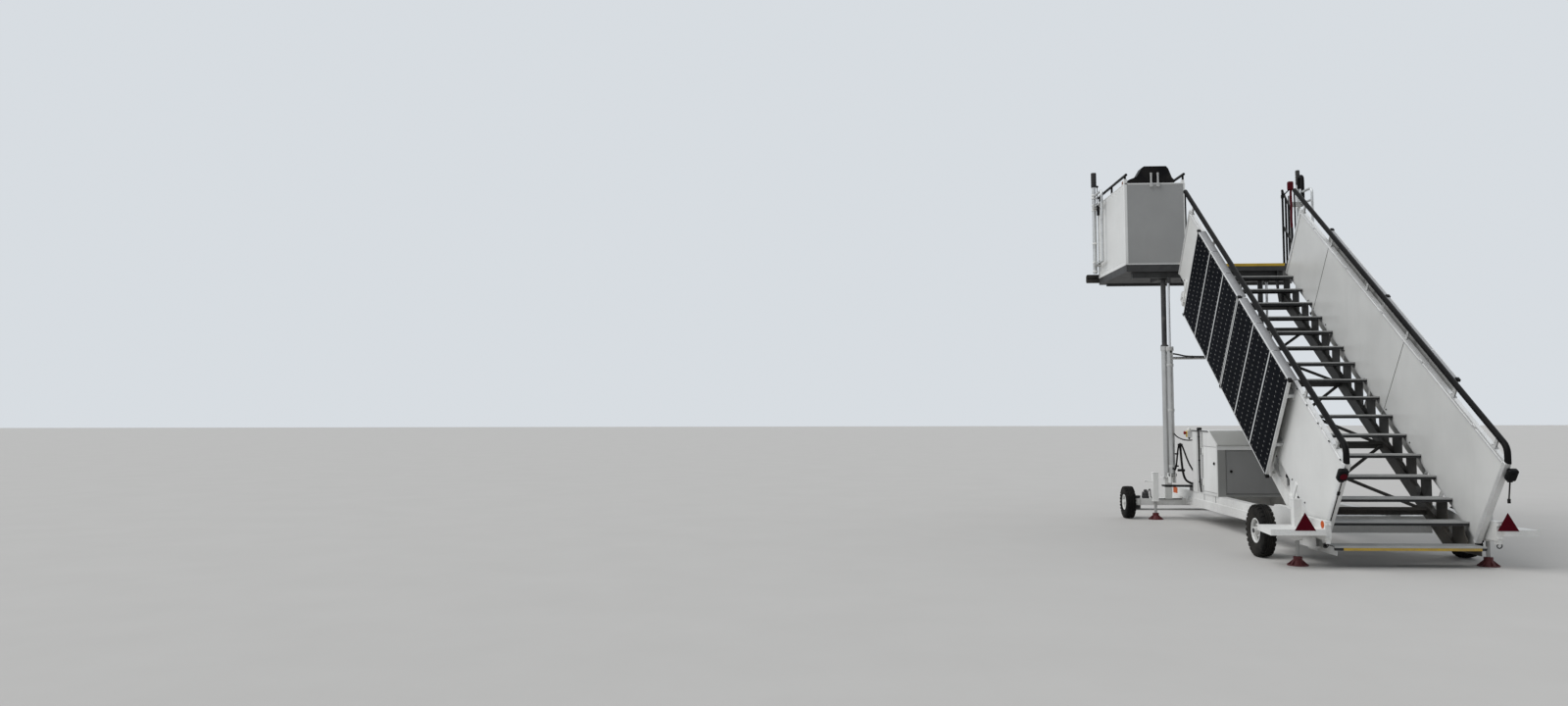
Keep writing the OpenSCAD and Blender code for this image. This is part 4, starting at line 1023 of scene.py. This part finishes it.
def handrail_belts():
    """Belt cassettes at the lower end posts, the left belt down to its post's foot, the right belt's end."""
    back, front = CASE_S
    foot, head = CASE_N
    near, far = CASE_Y
    middle_y = (near + far) / 2
    for side in SIDES:
        case = cassette(sided(side, (back, near, foot), (front, far, head), 0.020, 4))
        mouth = sided(side, (back + 0.012, near + 0.022, foot - 0.014),
                      (back + 0.040, far - 0.022, foot + 0.004), 0.003)
        both = settle(joined(case, mouth), FLIGHT)
        piece(f"belt_cassette_{SIDE_NAMES[side]}", both, "flight", black_plastic)
        if side == LEFT:
            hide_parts("strap_boxes")
        disc = turned_shape([(0.0, 0.0), (0.030, 0.0), (0.032, -0.002), (0.030, -0.005), (0.016, -0.006),
                             (0.0, -0.006)], 28, (back + 0.001, side * middle_y, (foot + head) / 2), AHEAD)
        piece(f"belt_cassette_disc_{SIDE_NAMES[side]}", settle(disc, FLIGHT), "flight",
              webbing_red if side == LEFT else rail_rubber)
    belt_s, belt_y, belt_top = 0.098, PANEL_OUT + 0.016, foot - 0.010
    parts = [block((belt_s - 0.002, belt_y - 0.005, low), (belt_s + 0.002, belt_y + 0.005, high), 0.0008)
             for low, high in ((0.560, belt_top), (0.050, 0.530), (0.000, 0.030))]
    for low, high in ((0.525, 0.565), (0.022, 0.058)):
        parts.append(block((belt_s - 0.008, belt_y - 0.013, low),
                           (belt_s + 0.008, belt_y + 0.013, high), 0.004, 2))
    parts.append(block((belt_s - 0.004, belt_y - 0.012, -0.030), (0.142, belt_y + 0.004, 0.004), 0.004))
    piece("left_belt_on_its_hook", settle(joined(*parts), FLIGHT), "flight", black_plastic)
    start = on_flight(belt_s, -middle_y, belt_top)
    line = [start + Vector((0.0015 * k, 0.0, -0.009 * k)) for k in range(18)]
    hook = block(line[-1] + Vector((-0.006, -0.014, -0.040)), line[-1] + Vector((0.006, 0.014, 0.002)), 0.004,
                 2)
    piece("right_belt_end", joined(webbing(line, 0.014), hook), "flight", black_plastic)


def head_belt():
    """The belt that closes the head of the stairs, in its case on an arm of the right rail's first post."""
    post = at(DECK_X + 0.020, 0.020 - PANEL_OUT, DECK_Z)
    arm = [post + Vector((0.0, y, z))
           for y, z in ((0.004, 0.900), (-0.012, 0.915), (-0.050, 0.955), (-0.085, 0.990), (-0.107, 1.000))]
    clamp = turned_shape(collar(0.0145, 0.020, 0.022, 0.002), 24, arm[0] - Vector((0.0, 0.004, 0.0)), UP)
    piece("head_belt_arm", joined(bent_tube(arm, 0.008), clamp), "platform", rail_rubber)
    foot = at(DECK_X + 0.020, -0.800, DECK_Z)
    case = block(foot + Vector((-0.030, -0.036, 0.986)), foot + Vector((0.030, 0.036, 1.104)), 0.016, 3)
    piece("head_belt_cassette", cassette(case), "platform", webbing_red)
    line = [foot + Vector((-0.010, 0.002 * math.sin(0.55 * k), 0.988 - 0.027 * k)) for k in range(20)]
    hook = block(line[-1] + Vector((-0.010, -0.016, -0.235)), line[-1] + Vector((0.010, 0.012, 0.004)), 0.006,
                 2)
    piece("head_belt_hook", hook, "platform", black_plastic)
    piece("head_belt_strap", webbing(line, 0.032), "platform", webbing_red)


def bumper():
    """Hollow rubber fender along the platform's front, ribbed lengthwise and screwed on through pads."""
    low, high = (Vector(corner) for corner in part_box("front_bumper"))
    deep, tall = high.x - low.x, high.z - low.z
    lower = [(0.0, 0.0), (0.55, 0.0), (0.80, 0.06), (0.95, 0.20), (1.0, 0.36), (0.965, 0.44)]
    mouth = [(0.0, 0.62), (0.12, 0.56), (0.12, 0.44), (0.0, 0.38)]
    outline = lower + [(x, 1.0 - z) for x, z in reversed(lower)] + mouth
    body = cut_shape([(deep * x, tall * z) for x, z in outline], high.y - low.y, 0.002)
    settle(body, Matrix.Translation(low))
    ends = [block((low.x + 0.004, y, low.z + 0.008), (high.x - 0.022, y + 0.010, high.z - 0.008), 0.004)
            for y in (low.y, high.y - 0.010)]
    fender = joined(body, *ends)
    piece("rubber_fender", fender, "platform", bumper_rubber)
    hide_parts("front_bumper")
    pads = [turned_shape([(0.0, 0.0), (0.012, 0.0), (0.014, 0.002), (0.012, 0.006), (0.0, 0.006)], 16,
                         (high.x - 0.008, low.y + 0.12 + k * 0.285, (low.z + high.z) / 2), AHEAD)
            for k in range(11)]
    piece("fender_screws", joined(*pads), "platform", zinc_grey)


def side_guards():
    """Rubber sleeves, collars, latches and foot blocks of the sliding guards, and the right one's hoop."""
    x = DECK_FRONT - 0.030
    for name, y, sleeve_depth, collar_depth in (("guard_left", DECK_LEFT + 0.060, 1.0, 1.0),
                                                ("guard_right", -DECK_RIGHT - 0.110, 0.770, 0.810)):
        body = body_under(name)
        place = Matrix.Translation(at(x, y, DECK_Z))
        sleeve = turned_shape([(0.0295, 1.362), (0.037, 1.362), (0.0385, 1.368), (0.0385, 1.572),
                               (0.036, 1.5795), (0.0, 1.5795), (0.0, 1.57), (0.0295, 1.57)], 28, axis=UP)
        ribs = [turned_shape([(0.038, z), (0.0398, z + 0.004), (0.0398, z + 0.010), (0.038, z + 0.014)], 28,
                             axis=UP) for z in (1.39, 1.43, 1.47, 1.51, 1.545)]
        rubber = settle(joined(sleeve, *ribs), place @ Matrix.Diagonal((1.0, sleeve_depth, 1.0, 1.0)))
        piece(f"{name}_rubber_sleeve", rubber, body, sleeve_rubber)
        rings = [turned_shape(collar(0.0295, 0.0375, 0.012, 0.0015, z), 28, axis=UP)
                 for z in (0.105, 0.235, 0.52, 1.02, 1.095, 1.20, 1.245)]
        rings += [block((-0.038, -0.014, z - 0.012), (-0.028, 0.014, z + 0.012)) for z in (0.23, 1.03, 1.20)]
        collars = settle(joined(*rings), place @ Matrix.Diagonal((1.0, collar_depth, 1.0, 1.0)))
        piece(f"{name}_collars", collars, body, white_paint)
        latch = [block((-0.25, -0.016, 1.036), (-0.20, 0.016, 1.084), 0.004, 2),
                 block((-0.33, -0.014, 0.176), (-0.28, 0.014, 0.224), 0.004, 2)]
        if name == "guard_left":
            latch.append(round_bar((-0.225, 0.0, 1.080), (-0.225, 0.0, 1.340), 0.005, 12))
            latch.append(turned_shape([(0.0, 1.315), (0.014, 1.318), (0.019, 1.330), (0.014, 1.344),
                                       (0.0, 1.348)], 18, (-0.225, 0, 0), UP))
            latch.append(block((-0.270, -0.020, 0.900), (-0.236, 0.016, 1.030), 0.006, 2))
        piece(f"{name}_latch", settle(joined(*latch), place), body, black_plastic)
    hoop_y = -DECK_RIGHT - 0.1145
    back, ahead = DECK_FRONT - 0.195, DECK_FRONT - 0.062
    middle, reach = (back + ahead) / 2, (ahead - back) / 2
    loop = [(back, 1.07), (back, 1.18), (back, 1.30), (back, 1.38)]
    loop += [(middle - reach * math.cos(turn), 1.42 + 0.055 * math.sin(turn))
             for turn in (0.35, 0.9, 1.57, 2.24, 2.8)]
    loop += [(ahead, 1.38), (ahead, 1.30)]
    hoop = bent_tube([at(x, hoop_y, DECK_Z + z) for x, z in loop], 0.025, resolution=4, sides=4)
    piece("guard_right_hoop", hoop, body_under("guard_right"), rail_rubber)


def controls():
    """Levers behind the hood, switches and gauges on the panel inside it, and the rail's blocks and pad."""
    top = DECK_Z + WALL_H
    lever_x = DECK_X + 0.020
    levers = []
    for y in (1.035, 0.945):
        levers.append(round_bar(at(lever_x, y, top + 0.006), at(lever_x, y, top + 0.130), 0.013, 16, 0.003))
        levers.append(turned_shape([(0.0, 0.122), (0.013, 0.124), (0.0165, 0.134), (0.015, 0.146),
                                    (0.0, 0.152)], 20, at(lever_x, y, top), UP))
        levers.append(block(at(DECK_X + 0.001, y - 0.020, top - 0.045),
                            at(DECK_X + 0.031, y + 0.020, top + 0.012), 0.004))
    piece("hood_levers", joined(*levers), "platform", bracket_grey)
    tilt = math.atan2(0.080, 0.147) + 0.008
    desk = Matrix.Translation(at(DECK_X + 0.053, -MIDDLE.y, top + 0.122)) @ Matrix.Rotation(tilt, 4, "Y")
    knobs = [turned_shape([(0.0, 0.0), (0.012, 0.0), (0.013, 0.003), (0.013, 0.012), (0.010, 0.015),
                           (0.0, 0.015)], 18, (0.055, 0.90 + 0.048 * k, 0.001), UP) for k in range(5)]
    dials = [turned_shape([(0.0, 0.0), (0.026, 0.0), (0.028, 0.003), (0.026, 0.008), (0.022, 0.008),
                           (0.021, 0.004), (0.0, 0.004)], 28, (0.108, y, 0.001), UP) for y in (0.88, 1.10)]
    stop = turned_shape([(0.0, 0.0), (0.020, 0.0), (0.020, 0.010), (0.011, 0.012), (0.011, 0.022),
                         (0.021, 0.026), (0.022, 0.034), (0.014, 0.040), (0.0, 0.041)], 26,
                        (0.10, 0.99, 0.001), UP)
    for name, made, finish in (("panel_buttons", joined(*knobs), bracket_grey),
                               ("panel_dials", joined(*dials), alloy), ("panel_stop_button", stop, foot_red)):
        piece(name, settle(made, desk), "platform", finish)
    blocks = [block(at(DECK_X + 0.040, DECK_LEFT - 0.040, top + 0.008),
                    at(DECK_X + 0.085, DECK_LEFT + 0.004, top + 0.070), 0.003),
              block(at(DECK_X + 0.032, 0.592, top + 0.008), at(DECK_X + 0.064, 0.632, top + 0.050), 0.003)]
    piece("wall_corner_blocks", joined(*blocks), "platform", white_paint)
    pad = block(at(DECK_X + 0.090, DECK_LEFT - 0.034, top + 0.009),
                at(DECK_X + 0.170, DECK_LEFT + 0.002, top + 0.055), 0.004)
    piece("rusted_rail_pad", pad, "platform", rust_brown)


def cabinet_fittings():
    """Seals, lid rim and joint, latches, groove, cable and louvres of the cabinet."""
    left, right, rear, front = CABINET_LEFT, CABINET_RIGHT, CABINET_REAR, CABINET_FRONT
    door_foot, door_top, seal_w = 0.418, 0.962, 0.0085
    door_right, door_left = CHASSIS_Y - BEAM_OUT + 0.098, CHASSIS_Y + BEAM_OUT - 0.098
    seals = [block(at(SIDE_DOOR_X, left - 0.001, 0.405), at(SIDE_DOOR_X + 0.012, left + 0.004, 1.165), 0.001)]
    for (y_low, z_low), (y_high, z_high) in (((door_right, door_foot), (door_right + seal_w, door_top)),
                                             ((door_left - seal_w, door_foot), (door_left, door_top)),
                                             ((door_right, door_top - seal_w), (door_left, door_top)),
                                             ((door_right, door_foot), (door_left, door_foot + seal_w))):
        seals.append(block(at(rear - 0.0035, y_low, z_low), at(rear + 0.001, y_high, z_high), 0.001))
    piece("cabinet_seals", joined(*seals), "chassis", seal_grey)
    rim = cut_shape([(3.408, 1.018), (3.412, 1.030), (3.716, 1.192), (4.412, 1.192), (4.412, 1.166),
                     (4.404, 1.166), (4.404, 1.184), (3.721, 1.184), (3.424, 1.026), (3.420, 1.010)],
                    2 * BEAM_OUT + 0.016, 0.0008)
    piece("cabinet_lid_rim", settle(rim, Matrix.Translation(at(0, right - 0.008, 0))), "chassis",
          cabinet_enamel)
    joint = [block(at(3.735, y, 1.176), at(front + 0.004, y + 0.012, 1.190))
             for y in (left - 0.002, right - 0.010)]
    piece("cabinet_lid_joint", joined(*joint), "chassis", dark_steel)
    latches = [turned_shape([(0.0, 0.0), (0.017, 0.0), (0.019, 0.003), (0.019, 0.010), (0.012, 0.016),
                             (0.0, 0.018)], 24, at(3.520, left, 0.790), ACROSS),
               turned_shape([(0.0, 0.0), (0.015, 0.0), (0.017, 0.003), (0.015, 0.008), (0.0, 0.010)], 24,
                            at(rear - 0.010, CHASSIS_Y + 0.395, 0.70), AHEAD)]
    for z in (0.490, 0.880):
        latches.append(block(at(SIDE_DOOR_X, left, z), at(SIDE_DOOR_X + 0.028, left + 0.016, z + 0.090),
                             0.005, 2))
        latches.append(round_bar(at(SIDE_DOOR_X + 0.016, left + 0.014, z + 0.002),
                                 at(SIDE_DOOR_X + 0.016, left + 0.014, z + 0.088), 0.007, 14))
    piece("cabinet_latches", joined(*latches), "chassis", black_plastic)
    # The groove's back takes the grey wall enamel: painted shade inside the groove.
    groove = block(at(4.004, left - 0.0055, 0.402), at(4.220, left - 0.0035, 1.172), 0.0005)
    piece("cabinet_groove_back", groove, "chassis", wall_grey)
    lead = route((4.110, left + 0.004, 1.205), (4.112, left + 0.006, 1.16), (4.112, left + 0.004, 1.08),
                 (4.110, left + 0.004, 0.80), (4.112, left + 0.004, 0.56), (4.080, left + 0.005, 0.47),
                 (4.050, left + 0.004, 0.405))
    clips = [block(at(4.096, left - 0.006, z), at(4.128, left + 0.014, z + 0.016), 0.003)
             for z in (0.52, 0.80, 1.10)]
    clips.append(block(at(4.080, left - 0.030, 1.186), at(4.145, left + 0.020, 1.225), 0.008, 2))
    piece("cabinet_side_cable", joined(bent_tube(lead, 0.009), *clips), "chassis", black_plastic)
    slat = settle(cut_shape([(0.0, 0.0), (0.300, 0.0), (0.290, 0.014), (0.010, 0.014)], -0.010, 0.002),
                  Matrix.Translation(at(3.640, right + 0.0005, 0.62)))
    places = [Matrix.Translation((0, 0, 0.045 * k)) for k in range(7)]
    piece("cabinet_louvres", repeated(slat, places), "chassis", white_paint)


def stop_switch():
    """Yellow stop switch on a bracket at the cabinet's front left corner, with its gland and lamp."""
    x, y = CABINET_FRONT, CABINET_LEFT
    bracket = block(at(x - 0.001, y - 0.040, 1.090), at(x + 0.008, y + 0.060, 1.178))
    piece("stop_switch_bracket", bracket, "chassis", bracket_grey)
    box = block(at(x + 0.008, y - 0.004, 1.094), at(x + 0.078, y + 0.062, 1.176), 0.007, 2)
    piece("stop_switch_box", box, "chassis", switch_yellow)
    button = turned_shape([(0.0, 0.0), (0.012, 0.0), (0.012, 0.012), (0.024, 0.016), (0.024, 0.026),
                           (0.014, 0.034), (0.0, 0.035)], 24, at(x + 0.042, y + 0.062, 1.150), ACROSS)
    piece("stop_switch_button", button, "chassis", button_red)
    lamp = turned_shape([(0.0, 0.0), (0.022, 0.0), (0.024, 0.004), (0.022, 0.030), (0.012, 0.040),
                         (0.0, 0.042)], 24, at(x + 0.042, y + 0.026, 1.176), UP)
    piece("stop_switch_lamp", lamp, "chassis", white_paint)
    gland = turned_shape([(0.0, -0.028), (0.009, -0.028), (0.010, -0.018), (0.014, -0.016), (0.014, 0.001),
                          (0.0, 0.001)], 18, at(x + 0.042, y + 0.026, 1.094), UP)
    piece("stop_switch_gland", gland, "chassis", black_plastic)


def lift_pipes():
    """Pipes and hoses between the cabinet and the left lift cylinder, with their tray and clamps."""
    pipes = [
        bent_tube(route((4.44, 0.560, 0.60), (4.47, 0.640, 0.66), (4.52, 0.720, 0.98), (4.53, 0.745, 1.01),
                        (4.54, 0.770, 1.00), (4.55, 0.790, 0.80), (4.56, 0.800, 0.68),
                        (4.575, 0.812, 0.655)), 0.011),
        bent_tube(route((4.42, 0.600, 1.06), (4.47, 0.660, 1.045), (4.53, 0.730, 1.06), (4.57, 0.790, 1.10),
                        (4.578, 0.812, 1.14)), 0.008),
        bent_tube(route((4.46, 0.600, 0.480), (4.47, 0.690, 0.500), (4.49, 0.735, 0.56), (4.50, 0.748, 0.80),
                        (4.51, 0.756, 0.985)), 0.015),
        block(at(4.44, CABINET_LEFT - 0.040, 0.440), at(4.62, 0.980, 0.462), 0.004),
        block(at(4.50, 0.700, 0.640), at(4.545, 0.790, 0.672), 0.006, 2),
        block(at(4.49, 0.725, 0.975), at(4.53, 0.785, 1.005), 0.006, 2),
    ]
    pipes += [block(at(4.535, 0.770, z), at(4.575, 0.812, z + 0.020), 0.004) for z in (0.70, 0.86)]
    piece("lift_pipes", joined(*pipes), "chassis", black_plastic)


def lift_details():
    """Gland nuts, collars, ports and pins of the lift cylinders and guides, and the hose on the brace."""
    pale, lower, upper = [], [], []
    for side in SIDES:
        guide_y = MAST_Y + side * MAST_OUT
        rod_y = guide_y - 0.026
        pale.append(turned_shape([(0.0385, 0.0), (0.046, 0.0), (0.048, 0.004), (0.048, 0.052), (0.044, 0.058),
                                  (0.0185, 0.058), (0.0185, 0.050), (0.0385, 0.046)], 28,
                                 at(CYLINDERS_X, rod_y, 2.240), UP))
        lower.append(turned_shape([(0.0345, 0.0), (0.050, 0.0), (0.050, 0.010), (0.044, 0.020),
                                   (0.0345, 0.020)], 28, at(GUIDES_X, guide_y, 2.3105), UP))
        pale += [turned_shape(collar(0.0375, 0.043, 0.018, 0.001), 28, at(CYLINDERS_X, rod_y, z), UP)
                 for z in (0.70, 1.45, 2.05)]
        lower += [block(at(4.575, rod_y - 0.012, z), at(4.592, rod_y + 0.012, z + 0.030), 0.003)
                  for z in (0.66, 2.215)]
        upper.append(block(at(4.575, rod_y - 0.018, 3.150), at(4.665, rod_y + 0.018, 3.224), 0.006, 2))
        upper.append(block(at(GUIDES_X - 0.050, guide_y - 0.050, 3.205),
                           at(GUIDES_X + 0.050, guide_y + 0.050, 3.2245), 0.004))
        places = [facing(UP, at(x, guide_y + y, 0.560)) for x in (GUIDES_X - 0.070, GUIDES_X + 0.070)
                  for y in (-0.055, 0.055)]
        pale.append(repeated(bolt(0.009, 0.008), places))
        lower += [turned_shape([(0.0, 0.0), (0.020, 0.0), (0.022, 0.002), (0.020, 0.006), (0.0, 0.006)], 20,
                               at(CYLINDERS_X, rod_y + y, 0.590), ACROSS) for y in (0.0435, -0.0495)]
    hose = route((4.738, 0.842, 2.218), (4.738, 0.757, 2.208), (4.742, 0.679, 2.196), (4.748, 0.606, 2.176),
                 (4.751, 0.523, 2.168), (4.751, 0.100, 2.168), (4.751, -0.340, 2.168), (4.744, -0.420, 2.186))
    lower.append(bent_tube(hose, 0.011))
    lower += [block(at(4.736, y - 0.008, 2.146), at(4.764, y + 0.008, 2.182), 0.003)
              for y in (0.500, 0.070, -0.320)]
    piece("cylinder_collars", joined(*pale), "chassis", bracket_grey)
    piece("mast_wipers_and_ports", joined(*lower), "chassis", dark_steel)
    piece("mast_head_fittings", joined(*upper), "platform", dark_steel)


def jack_heads():
    """Rim plates on the four jack housings, and the webs and raised edge of each foot."""
    webs, plate_half = 6, 0.039
    for name, (x, y) in JACKS.items():
        rim, foot = (block(at(x - plate_half, y - plate_half, low), at(x + plate_half, y + plate_half, high),
                           edge) for low, high, edge in ((0.611, 0.623, 0.003), (0.237, 0.245, 0.002)))
        sunk(rim, lambda centre, normal: normal.z > 0.9, 0.012, -0.003)
        piece(f"{name}_housing_rims", joined(rim, foot), "chassis", white_paint)
        web = settle(cut_shape([(0.036, 0.0085), (0.088, 0.0085), (0.088, 0.014), (0.040, 0.056)], 0.005,
                               0.0008), Matrix.Translation((0, -0.0025, 0)))
        places = [Matrix.Translation(at(x, y, 0)) @ Matrix.Rotation(2 * math.pi * k / webs, 4, "Z")
                  for k in range(webs)]
        ring = turned_shape([(0.086, 0.0085), (0.0935, 0.0085), (0.0945, 0.0105), (0.0935, 0.0125),
                             (0.087, 0.0120)], 36, at(x, y, 0), UP)
        piece(f"{name}_foot_ribs", joined(ring, repeated(web, places)), body_under(name), foot_red)


def chassis_welds():
    """Weld beads and bolts on the main beams and arms, and the left beam's drain slots as dark plates of
    painted shade.
    """
    runs, places = [], []
    for side in SIDES:
        beam = CHASSIS_Y + side * BEAM_OUT
        face, ledge, arm = beam + side * 0.0006, beam - side * 0.0104, side * ARM_OUT
        for x in (2.62, 2.90):
            runs.append(((x, face, 0.204), (x, face, 0.298), 0.0032))
            runs.append(((x, beam - side * 0.0114, 0.302), (x, beam - side * 0.0114, 0.388), 0.0032))
        runs.append(((1.325, ledge, 0.3015), (5.34, ledge, 0.3015), 0.003))
        runs.append(((1.178, arm, 0.268), (1.178, arm, 0.42), 0.003))
        runs.append(((0.244, arm + side * 0.001, 0.366), (0.378, arm + side * 0.001, 0.366), 0.003))
        places += [facing((0, side, 0), at(x, beam, z))
                   for x in (4.52, 4.60, 4.90, 4.98) for z in (0.225, 0.275)]
        places += [facing((-1, 0, 0), at(-0.070, side * y, z))
                   for y in (0.748, 0.777) for z in (0.285, 0.405)]
    beads = [round_bar(at(*start), at(*end), radius, 8, 0.001) for start, end, radius in runs]
    piece("weld_beads", joined(*beads), "chassis", white_paint)
    piece("chassis_bolts", repeated(bolt(0.011, 0.010), places), "chassis", white_paint)
    # Each slot is a dark plate on the beam's face: painted shade of the hollow behind it.
    slots = [block(at(x - 0.006, CABINET_LEFT - 0.013, 0.304), at(x + 0.006, CABINET_LEFT - 0.0105, 0.386),
                   0.0008) for x in (3.985, 3.540)]
    piece("beam_drain_slots", joined(*slots), "chassis", dark_steel)


def tie_down_rings():
    """The ring that hangs from each arm's hook, and the pad under the arm's end."""
    bar, hole = 0.0055, 0.022
    turns = [2 * math.pi * k / 8 for k in range(8)]
    outline = [(hole + bar * math.cos(turn), bar * math.sin(turn)) for turn in turns]
    rings = []
    for side in SIDES:
        rings.append(turned_shape(outline, 28, at(-0.035, side * 0.776, 0.214), (1, 0, 0.25)))
        pad = sided(side, (-0.060, 0.742, 0.2615), (-0.018, 0.783, 0.2685))
        rings.append(settle(pad, Matrix.Translation(-MIDDLE)))
    piece("tie_down_rings", joined(*rings), "chassis", dark_steel)


def outrigger_fittings():
    """Valve, unions and pipe on the front outrigger's left end, and the jack's release lever."""
    base = [block(at(4.762, 1.105, 0.268), at(4.838, 1.190, 0.300), 0.004),
            turned_shape([(0.0, 0.0), (0.030, 0.0), (0.030, 0.040), (0.024, 0.048), (0.024, 0.076),
                          (0.016, 0.084), (0.0, 0.084)], 24, at(4.800, 1.146, 0.300), UP)]
    base += [turned_shape([(0.0, 0.0), (0.011, 0.0), (0.011, 0.030), (0.008, 0.034), (0.008, 0.052),
                           (0.0, 0.053)], 16, at(x, y, 0.300), UP)
             for x, y in ((4.776, 1.120), (4.824, 1.176))]
    piece("outrigger_valve", joined(*base), "chassis", dark_steel)
    pipe = route((4.776, 1.120, 0.350), (4.772, 1.108, 0.385), (4.764, 1.096, 0.395), (4.745, 1.096, 0.380),
                 (4.732, 1.098, 0.34), (4.730, 1.098, 0.28), (4.742, 1.060, 0.262), (4.742, 0.90, 0.262),
                 (4.742, 0.68, 0.262))
    piece("outrigger_pipe", bent_tube(pipe, 0.007), "chassis", black_plastic)
    lever = [round_bar(at(4.650, 1.091, 0.502), at(4.650, 1.178, 0.506), 0.008, 14),
             turned_shape([(0.0, 0.0), (0.011, 0.0), (0.012, 0.004), (0.011, 0.022), (0.0, 0.024)], 18,
                          at(4.650, 1.172, 0.506), ACROSS)]
    piece("jack_release_lever", joined(*lever), "chassis", white_paint)


for make in (nosings, balustrade_trim, rail_brackets, solar_frames, wall_trim, floor_plate, handrail_grips,
             handrail_returns, handrail_belts, head_belt, bumper, side_guards, controls, cabinet_fittings,
             stop_switch, lift_pipes, lift_details, jack_heads, chassis_welds, tie_down_rings,
             outrigger_fittings):
    make()


# Camera, floor and light
def photo_camera():
    """The photograph's own viewpoint."""
    pitch, roll, yaw = 0.0588, -0.0027, 0.0525
    place = at(-10.8218, 5.1944, 1.4844)
    ahead = Vector((math.cos(yaw) * math.cos(pitch), math.sin(yaw) * math.cos(pitch), math.sin(pitch)))
    right = Vector((math.sin(yaw), -math.cos(yaw), 0.0))
    up = right.cross(ahead)
    right, up = right * math.cos(roll) + up * math.sin(roll), up * math.cos(roll) - right * math.sin(roll)
    bpy.ops.object.camera_add()
    camera = bpy.context.object
    camera.name = "photo_camera"
    camera.data.lens = 26.070
    camera.data.sensor_width = 36.0
    camera.data.sensor_fit = "HORIZONTAL"
    camera.data.shift_y = -0.00725
    camera.data.clip_end = 400.0
    camera.matrix_world = Matrix.Translation(place) @ Matrix((right, up, -ahead)).transposed().to_4x4()
    bpy.context.scene.camera = camera


def studio():
    """A pale floor that takes the shadow, a pale surround, and two broad soft lamps."""
    concrete = Finish("pale_floor", roughness=0.85)
    concrete.set("Base Color", concrete.mixed((0.50, 0.485, 0.465), (0.55, 0.535, 0.515),
                                              concrete.noise(1.1, 6.0, 0.6)))
    clear_selection()
    bpy.ops.mesh.primitive_plane_add(size=160.0)
    floor = bpy.context.object
    floor.name = "floor"
    floor.data.materials.append(concrete.material)
    world = bpy.data.worlds.new("pale_surround")
    world.use_nodes = True
    tree = world.node_tree
    light = tree.nodes["Background"]
    backdrop = tree.nodes.new("ShaderNodeBackground")
    for shade, colour, strength in ((light, (0.62, 0.66, 0.70, 1.0), 0.62),
                                    (backdrop, (0.72, 0.76, 0.80, 1.0), 0.95)):
        shade.inputs["Color"].default_value = colour
        shade.inputs["Strength"].default_value = strength
    path = tree.nodes.new("ShaderNodeLightPath")
    either = tree.nodes.new("ShaderNodeMath")
    either.operation = "MAXIMUM"
    blend = tree.nodes.new("ShaderNodeMixShader")
    for source, target in ((path.outputs["Is Camera Ray"], either.inputs[0]),
                           (path.outputs["Is Glossy Ray"], either.inputs[1]),
                           (either.outputs[0], blend.inputs[0]),
                           (light.outputs[0], blend.inputs[1]),
                           (backdrop.outputs[0], blend.inputs[2]),
                           (blend.outputs[0], tree.nodes["World Output"].inputs["Surface"])):
        tree.links.new(source, target)
    bpy.context.scene.world = world
    for name, aim, strength, spread in (("sky_lamp", (0.15, -0.62, -0.77), 1.7, 50.0),
                                        ("far_lamp", (-0.5, 0.55, -0.67), 0.35, 60.0)):
        bpy.ops.object.light_add(type="SUN", location=(0.0, 0.0, 12.0))
        lamp = bpy.context.object
        lamp.name = name
        lamp.data.energy = strength
        lamp.data.angle = math.radians(spread)
        lamp.rotation_euler = Vector(aim).to_track_quat("-Z", "Y").to_euler()


photo_camera()
studio()
bpy.context.scene.view_settings.view_transform = "Standard"
